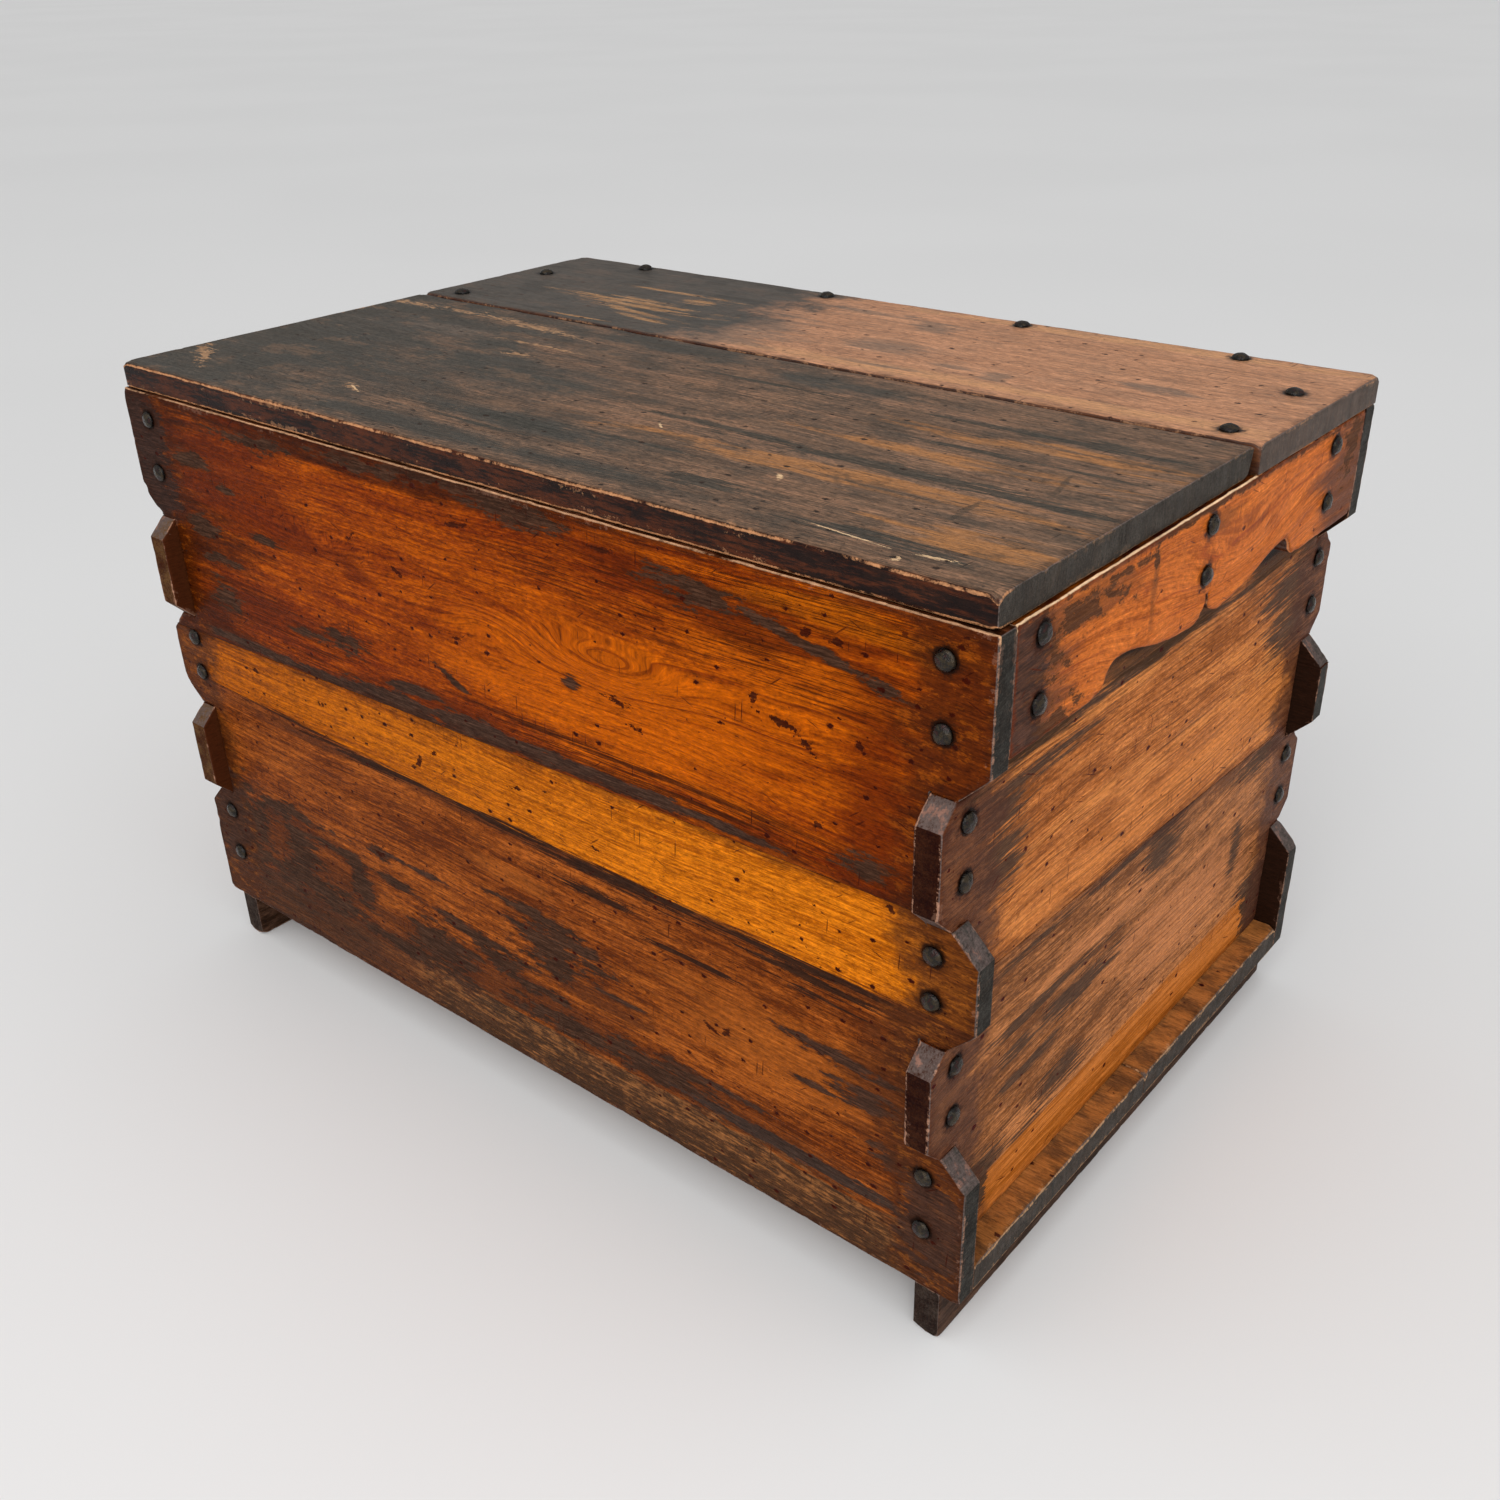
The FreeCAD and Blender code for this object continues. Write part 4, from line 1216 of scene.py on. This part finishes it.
def top_wood():
    wood = Wood("fixed_top_wood", 0, 1, 37, TOP_LIGHT)
    wood.base((156, 111, 83), (185, 132, 98), (206, 149, 112), contrast=0.65, fine_width=1.4)
    wood.year_lines((136, 94, 70), spacing=10.0, drift=8.0, reach=0.4, strength=0.4)
    wood.wash((202, 148, 104), [(240, 80, 260, 11), (240, 277, 240, 9)], strength=0.8, seed=9)
    wood.wash((124, 102, 86), [(75, 140, 44, 16), (155, 118, 24, 12), (203, 112, 14, 12),
                               (330, 150, 26, 12), (110, 84, 40, 5), (70, 225, 24, 14),
                               (25, 250, 10, 5), (-70, 120, 50, 60), (-40, 245, 60, 8)],
              strength=0.75, wander=0.6, seed=12)
    old = wood.wash((72, 70, 65), [(-480, 170, 400, 900)], strength=0.96, wander=0.07, inner=0.88,
                    outer=1.1, seed=11, length=50.0, width=36.0)
    wood.mottled((60, 56, 51), (104, 86, 74), (52.0, 30.0, 1.0), strength=0.6, where=old)
    wood.mottled((146, 110, 86), (214, 152, 112), (60.0, 26.0, 1.0), strength=0.36, seed=62,
                 where=1.0 - old)
    wood.streaks((96, 78, 66), length=90.0, width=1.6, cut=0.5, strength=0.4)
    wood.patina((150, 110, 74), (186, 144, 106), [
        (-240, 150, 78, 4), (-225, 137, 72, 5, -2), (-240, 160, 40, 3), (-215, 118, 50, 4, -8),
        (-185, 100, 26, 4, -10), (-185, 185, 20, 7, 12), (-230, 205, 60, 3), (-240, 70, 30, 2)],
        ragged=0.75, length=40.0, width=2.4, seed=26)
    wood.dents((70, 46, 34), rarity=0.6)
    wood.halo((48, 40, 36), reach=7.0)
    wood.rim((74, 52, 40), reach=5.0, strength=0.5)
    wood.side_grain((42, 26, 20), (84, 50, 34))
    wood.end_grain((58, 50, 44), (88, 74, 66))
    wood.inner_face(-1.0, 900.0, EAR_DARK)
    wood.worn_edges((184, 136, 100), reach=0.5, cut=0.0, strength=0.5, chips=0.2)
    return wood.finished(specular=0.3, crisp=0.85)


def floor_wood(name, seed):
    """Floor boards: their ends show as a chipped ledge beyond the end walls."""
    wood = Wood(name, 0, 1, seed, TOP_LIGHT)
    wood.base((96, 66, 48), (126, 88, 62), (156, 110, 74))
    chips = wood.cloudy((44.0, 24.0, 14.0), 50, detail=6.0, roughness=0.66)
    lines = wood.streaky(60.0, 2.0, 51, detail=4.0, roughness=0.75)
    ledge = ramp(405.0, 415.0, size_of(wood.u))
    rough_ledge = wood.light.blend((106, 70, 45), (168, 106, 56), ramp(-1.2, 0.7, chips + lines * 0.25))
    wood.paint(rough_ledge, ledge * 0.85)
    wood.height = wood.height + chips * ledge * 0.5
    wood.dents(PIT_BROWN, rarity=0.6)
    wood.rim((58, 42, 34), reach=4.0, strength=0.5)
    wood.end_grain((54, 52, 49), (78, 74, 70))
    wood.side_grain((44, 32, 25), (84, 60, 44))
    wood.worn_edges((196, 152, 112), reach=0.9, cut=-1.0, strength=0.7, chips=0.4)
    wood.roughness = wood.roughness + 0.2
    return wood.finished(specular=0.15)


def runner_wood(name, seed):
    wood = Wood(name, 1, 0, seed, END_LIGHT)
    wood.base((48, 36, 32), (64, 50, 44), (90, 70, 58))
    wood.year_lines((40, 30, 26), spacing=7.0, strength=0.5)
    wood.dents((30, 20, 16), rarity=0.6)
    wood.rim((38, 28, 25), reach=5.0, strength=0.5)
    wood.end_grain((44, 38, 35), (70, 62, 57))
    wood.side_grain((56, 44, 38), (84, 64, 54))
    wood.worn_edges((150, 112, 92), reach=0.8, strength=0.5)
    wood.roughness = wood.roughness + 0.2
    return wood.finished(specular=0.1)


def cleat_wood(name, seed):
    wood = Wood(name, 1, 0, seed, END_LIGHT)
    wood.base((116, 82, 54), (148, 108, 72), (172, 132, 92))
    wood.year_lines((104, 72, 48), spacing=9.0, strength=0.5)
    wood.dents(PIT_BROWN, rarity=0.7)
    wood.halo((58, 40, 30), reach=5.0)
    # the third shade is a painted sheen on the slanting end faces
    wood.end_grain((96, 76, 58), (140, 112, 86), (120, 98, 76))
    wood.side_grain((92, 64, 44), (140, 104, 72))
    wood.worn_edges((190, 150, 110), strength=0.6)
    wood.roughness = wood.roughness + 0.2
    return wood.finished(specular=0.15)


def iron():
    """Hand-forged iron with rust in its hollows, a painted highlight towards the crown and painted
    shade round the head's edge and down the shank.
    """
    material = cleared(bpy.data.materials.new("nail_iron"))
    place = in_millimetres(new_node("ShaderNodeTexCoord"))
    rust = clouds(place, (5.0, 5.0, 5.0), 3.0, detail=4.0, roughness=0.6)
    grit = clouds(place, (0.9, 0.9, 0.9), 4.0)
    crown = measure("crown")
    tone = END_LIGHT.tone
    # paler towards the crown: a painted highlight
    colour = layered(tone((32, 27, 21)), tone((60, 52, 42)), ramp(-0.6, 1.0, rust + crown * 0.6 - 0.3))
    colour = layered(colour, tone((64, 40, 26)), ramp(0.3, 1.0, rust * -1.0) * 0.6)
    # darker where the crown measure is low: painted shade round the head's edge and down the shank
    colour = layered(colour, tone((26, 20, 17)), ramp(0.5, 0.05, crown) * 0.9)
    surface(colour, 0.24 + rust * 0.1, rust * 0.25 + grit * 0.08, Metallic=0.5)
    return material


# --- The chest ----------------------------------------------------------------

NAIL_WAYS = {
    "nails_front_left": (0, -1, 0), "nails_front_right": (0, -1, 0),
    "nails_back_left": (0, 1, 0), "nails_back_right": (0, 1, 0),
    "nails_end_left_front": (-1, 0, 0), "nails_end_left_rear": (-1, 0, 0),
    "nails_end_right_front": (1, 0, 0), "nails_end_right_rear": (1, 0, 0),
    "nails_batten_left": (-1, 0, 0), "nails_batten_right": (1, 0, 0),
    "nails_top_rear_row": (0, 0, 1), "nails_top_left": (0, 0, 1), "nails_top_right": (0, 0, 1),
    "nails_runner_left": (0, 0, -1), "nails_runner_right": (0, 0, -1),
    "nails_cleat_left": (0, 0, -1), "nails_cleat_right": (0, 0, -1),
}
LID_NAILS = ("nails_cleat_left", "nails_cleat_right")
FIRST_NAIL_SEED = 100
HEAD_REACH = 6.0               # a nail belongs to a face this close under its crown
LID_REAR_RELIEF = 7.0 * MM     # how far the lid's rear edge draws in at its underside
PLANK_WEAR = 2.0               # rounding of the long planks' edges


def add_nails():
    """Forges every group of nails, and lists all the nails."""
    material = iron()
    made = []
    for seed, (node, way) in enumerate(NAIL_WAYS.items(), FIRST_NAIL_SEED):
        nails = [Nail(points, way) for points in islands(node)]
        body = "lid" if node in LID_NAILS else "chest"
        place_piece(node + "_forged", nail_mesh(node + "_forged", nails, seed), body, node,
                    material)
        made += nails
    return made


def lid_section(mesh, node):
    """Draws the lid board's rear edge in towards its underside."""
    low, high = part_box(node)
    for vert in mesh.vertices:
        fall = (high.z - vert.co.z) / (high.z - low.z)
        near = max(0.0, 1.0 - (high.y - vert.co.y) / (4.0 * LID_REAR_RELIEF))
        vert.co.y -= LID_REAR_RELIEF * near * fall ** 1.6


def add_board(nails, node, axis, side, material, seed, body="chest", whole=False,
              outer=Wear(), inner=None, section=None, cover=None):
    """A worn board in the place of a CAD node, with its outer face towards side."""
    low, high = (corner[axis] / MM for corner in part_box(node))
    outline = box_outline(node, axis) if whole else face_outline(node, axis, side)
    level = side * (high if side > 0 else low)
    shape = Outline(straightened(outline))
    centres = [nail.on_face() for nail in nails
               if nail.axis == axis and nail.sign == side and abs(nail.top - level) < HEAD_REACH
               and shape.holds(nail.on_face())[0]]
    inner = inner or Wear(width=0.8, chips=0.6, sides=outer.sides)
    wear_low, wear_high = (inner, outer) if side > 0 else (outer, inner)
    shade = Outline(straightened(face_outline(cover, axis, side))) if cover else None
    mesh = board_mesh(node + "_worn", axis, outline, low, high, wear_low, wear_high, centres, seed,
                      shade)
    if section:
        section(mesh, node)
    place_piece(node + "_worn", mesh, body, node, material)


def add_boards(nails):
    upper = {"low_v": TIGHT}
    lower = {"high_v": TIGHT}
    add_board(nails, "front_plank_upper", 1, -1, front_upper_wood(), 1,
              outer=Wear(PLANK_WEAR, sides=upper, gouges=10))
    add_board(nails, "front_plank_lower", 1, -1, front_lower_wood(), 2,
              outer=Wear(PLANK_WEAR, sides=lower, gouges=10))
    add_board(nails, "back_plank_upper", 1, 1,
              back_wood("back_upper_wood", 3, ((108, 44, 6), (142, 64, 9), (172, 84, 14)), 470,
                        [(-200, 560, 120, 10), (150, 500, 60, 12), (250, 400, 90, 7),
                         (-100, 368, 120, 6, -1), (330, 560, 60, 8)]),
              3, outer=Wear(PLANK_WEAR, sides=upper, gouges=8))
    add_board(nails, "back_plank_lower", 1, 1,
              back_wood("back_lower_wood", 4, ((100, 52, 20), (134, 74, 28), (164, 94, 38)), 250,
                        [(-150, 120, 160, 24), (220, 90, 120, 16), (100, 240, 60, 10),
                         (-280, 330, 90, 5, -1), (300, 150, 50, 20)]),
              4, outer=Wear(PLANK_WEAR, sides=lower, gouges=8))
    for name, side in (("left", -1), ("right", 1)):
        for number, (level, sides) in enumerate((("upper", upper), ("lower", lower))):
            seed = 10 + 4 * side + 2 * number
            node = "end_%s_plank_%s" % (name, level)
            add_board(nails, node, 0, side,
                      end_wood(node + "_wood", seed, float(side), level == "upper"), seed,
                      outer=Wear(1.6, sides=sides, gouges=6), inner=Wear(1.4, sides=sides, gouges=4),
                      cover="end_batten_" + name if level == "upper" else None)
        add_board(nails, "end_batten_" + name, 0, side,
                  batten_wood("end_batten_%s_wood" % name, 20 + side), 20 + side,
                  outer=Wear(1.5, chips=1.6, gouges=5))
        add_board(nails, "runner_" + name, 2, 1,
                  runner_wood("runner_%s_wood" % name, 40 + side), 40 + side, whole=True,
                  outer=Wear(1.0), inner=Wear(1.8, chips=3.0, gouges=8))
        add_board(nails, "lid_cleat_" + name, 0, side,
                  cleat_wood("lid_cleat_%s_wood" % name, 50 + side), 50 + side, body="lid")
    for name, joint, seed in (("front", "high_v", 44), ("rear", "low_v", 45)):
        add_board(nails, "floor_board_" + name, 2, 1,
                  floor_wood("floor_%s_wood" % name, seed), seed, whole=True,
                  outer=Wear(1.6, chips=4.0, sides={joint: 1.2}, gouges=14, gouge_depth=2.4))
    add_board(nails, "top_board_fixed", 2, 1, top_wood(), 46, whole=True,
              outer=Wear(2.2, chips=2.4, gouges=12))
    add_board(nails, "lid_board", 2, 1, lid_wood(), 47, body="lid", whole=True,
              outer=Wear(2.6, chips=1.2, sides={"high_v": 5.0, "low_u": 1.4, "high_u": 1.4}, gouges=16,
                         gouge_depth=1.4),
              inner=Wear(1.5, chips=1.5, gouges=8), section=lid_section)


# --- Floor, light and camera --------------------------------------------------

FLOOR_PALE = (213, 213, 213)
FLOOR_DARK = (211, 211, 211)
SKY_FROM = Vector((0.5, -0.62, 0.6)).normalized()   # where the studio's big soft light stands
SKY_DIM = 0.28
SKY_BRIGHT = 1.12
KEY_PLACE = Vector((1.5, -3.0, 2.6))
KEY_AIM = Vector((0.0, 0.0, 0.2))
KEY_SIZE = 3.0
KEY_POWER = 60.0
FLOOR_SIZE = 60.0
CAMERA_PLACE = Vector((0.84861, -0.97495, 0.92938))
CAMERA_AZIMUTH = math.radians(39.753)
CAMERA_ELEVATION = math.radians(28.841)
CAMERA_ROLL = math.radians(-1.2036)
SENSOR = 36.0
FRAME_PIXELS = 1500.0
FOCAL_PIXELS = 1522.49
MIDDLE_PIXEL = (762.32, 764.36)


def linked(name, data):
    """A new object in the scene."""
    made = bpy.data.objects.new(name, data)
    bpy.context.scene.collection.objects.link(made)
    return made


def add_floor():
    bpy.ops.mesh.primitive_plane_add(size=FLOOR_SIZE)
    floor = bpy.context.object
    floor.name = "studio_floor"
    material = cleared(bpy.data.materials.new("studio_floor"))
    shade = clouds(field("ShaderNodeTexCoord", "Object"), (1.6, 1.6, 1.6), 1.0)
    colour = FLOOR_LIGHT.blend(FLOOR_DARK, FLOOR_PALE, ramp(-1.0, 1.0, shade))
    shader = field("ShaderNodeBsdfPrincipled", 0, {"Base Color": colour, "Roughness": 0.6})
    new_node("ShaderNodeOutputMaterial", {0: shader})
    floor.data.materials.append(material)


def add_light():
    """A soft dome, brighter from the front right, and one large lamp for the floor's falloff."""
    bpy.context.scene.world = cleared(bpy.data.worlds.new("studio"))
    towards = field("ShaderNodeVectorMath", "Value", {
        0: field("ShaderNodeTexCoord", "Generated"), 1: SKY_FROM}, operation="DOT_PRODUCT")
    glow = ramp(-0.5, 1.0, towards)
    sky = field("ShaderNodeBackground", 0, {
        "Color": (1.0, 1.0, 1.0, 1.0), "Strength": SKY_DIM + glow * (SKY_BRIGHT - SKY_DIM)})
    new_node("ShaderNodeOutputWorld", {0: sky})
    lamp = bpy.data.lights.new("key_light", "AREA")
    lamp.shape = "DISK"
    lamp.size = KEY_SIZE
    lamp.energy = KEY_POWER
    light = linked("key_light", lamp)
    light.location = KEY_PLACE
    light.rotation_euler = (KEY_AIM - KEY_PLACE).to_track_quat("-Z", "Y").to_euler()
    bpy.context.scene.view_settings.view_transform = "Standard"


def add_camera():
    back = Vector((math.sin(CAMERA_AZIMUTH) * math.cos(CAMERA_ELEVATION),
                   -math.cos(CAMERA_AZIMUTH) * math.cos(CAMERA_ELEVATION),
                   math.sin(CAMERA_ELEVATION)))
    level = (-back).cross(Vector((0, 0, 1))).normalized()
    upright = level.cross(-back)
    right = level * math.cos(CAMERA_ROLL) + upright * math.sin(CAMERA_ROLL)
    up = upright * math.cos(CAMERA_ROLL) - level * math.sin(CAMERA_ROLL)
    turn = Matrix((right, up, back)).transposed().to_4x4()
    data = bpy.data.cameras.new("camera")
    data.sensor_width = SENSOR
    data.lens = SENSOR * FOCAL_PIXELS / FRAME_PIXELS
    data.shift_x = (FRAME_PIXELS / 2 - MIDDLE_PIXEL[0]) / FRAME_PIXELS
    data.shift_y = (MIDDLE_PIXEL[1] - FRAME_PIXELS / 2) / FRAME_PIXELS
    camera = linked("camera", data)
    camera.matrix_world = Matrix.Translation(CAMERA_PLACE) @ turn
    bpy.context.scene.camera = camera


add_camera()
add_light()
add_floor()
add_boards(add_nails())

bpy.context.view_layer.update()
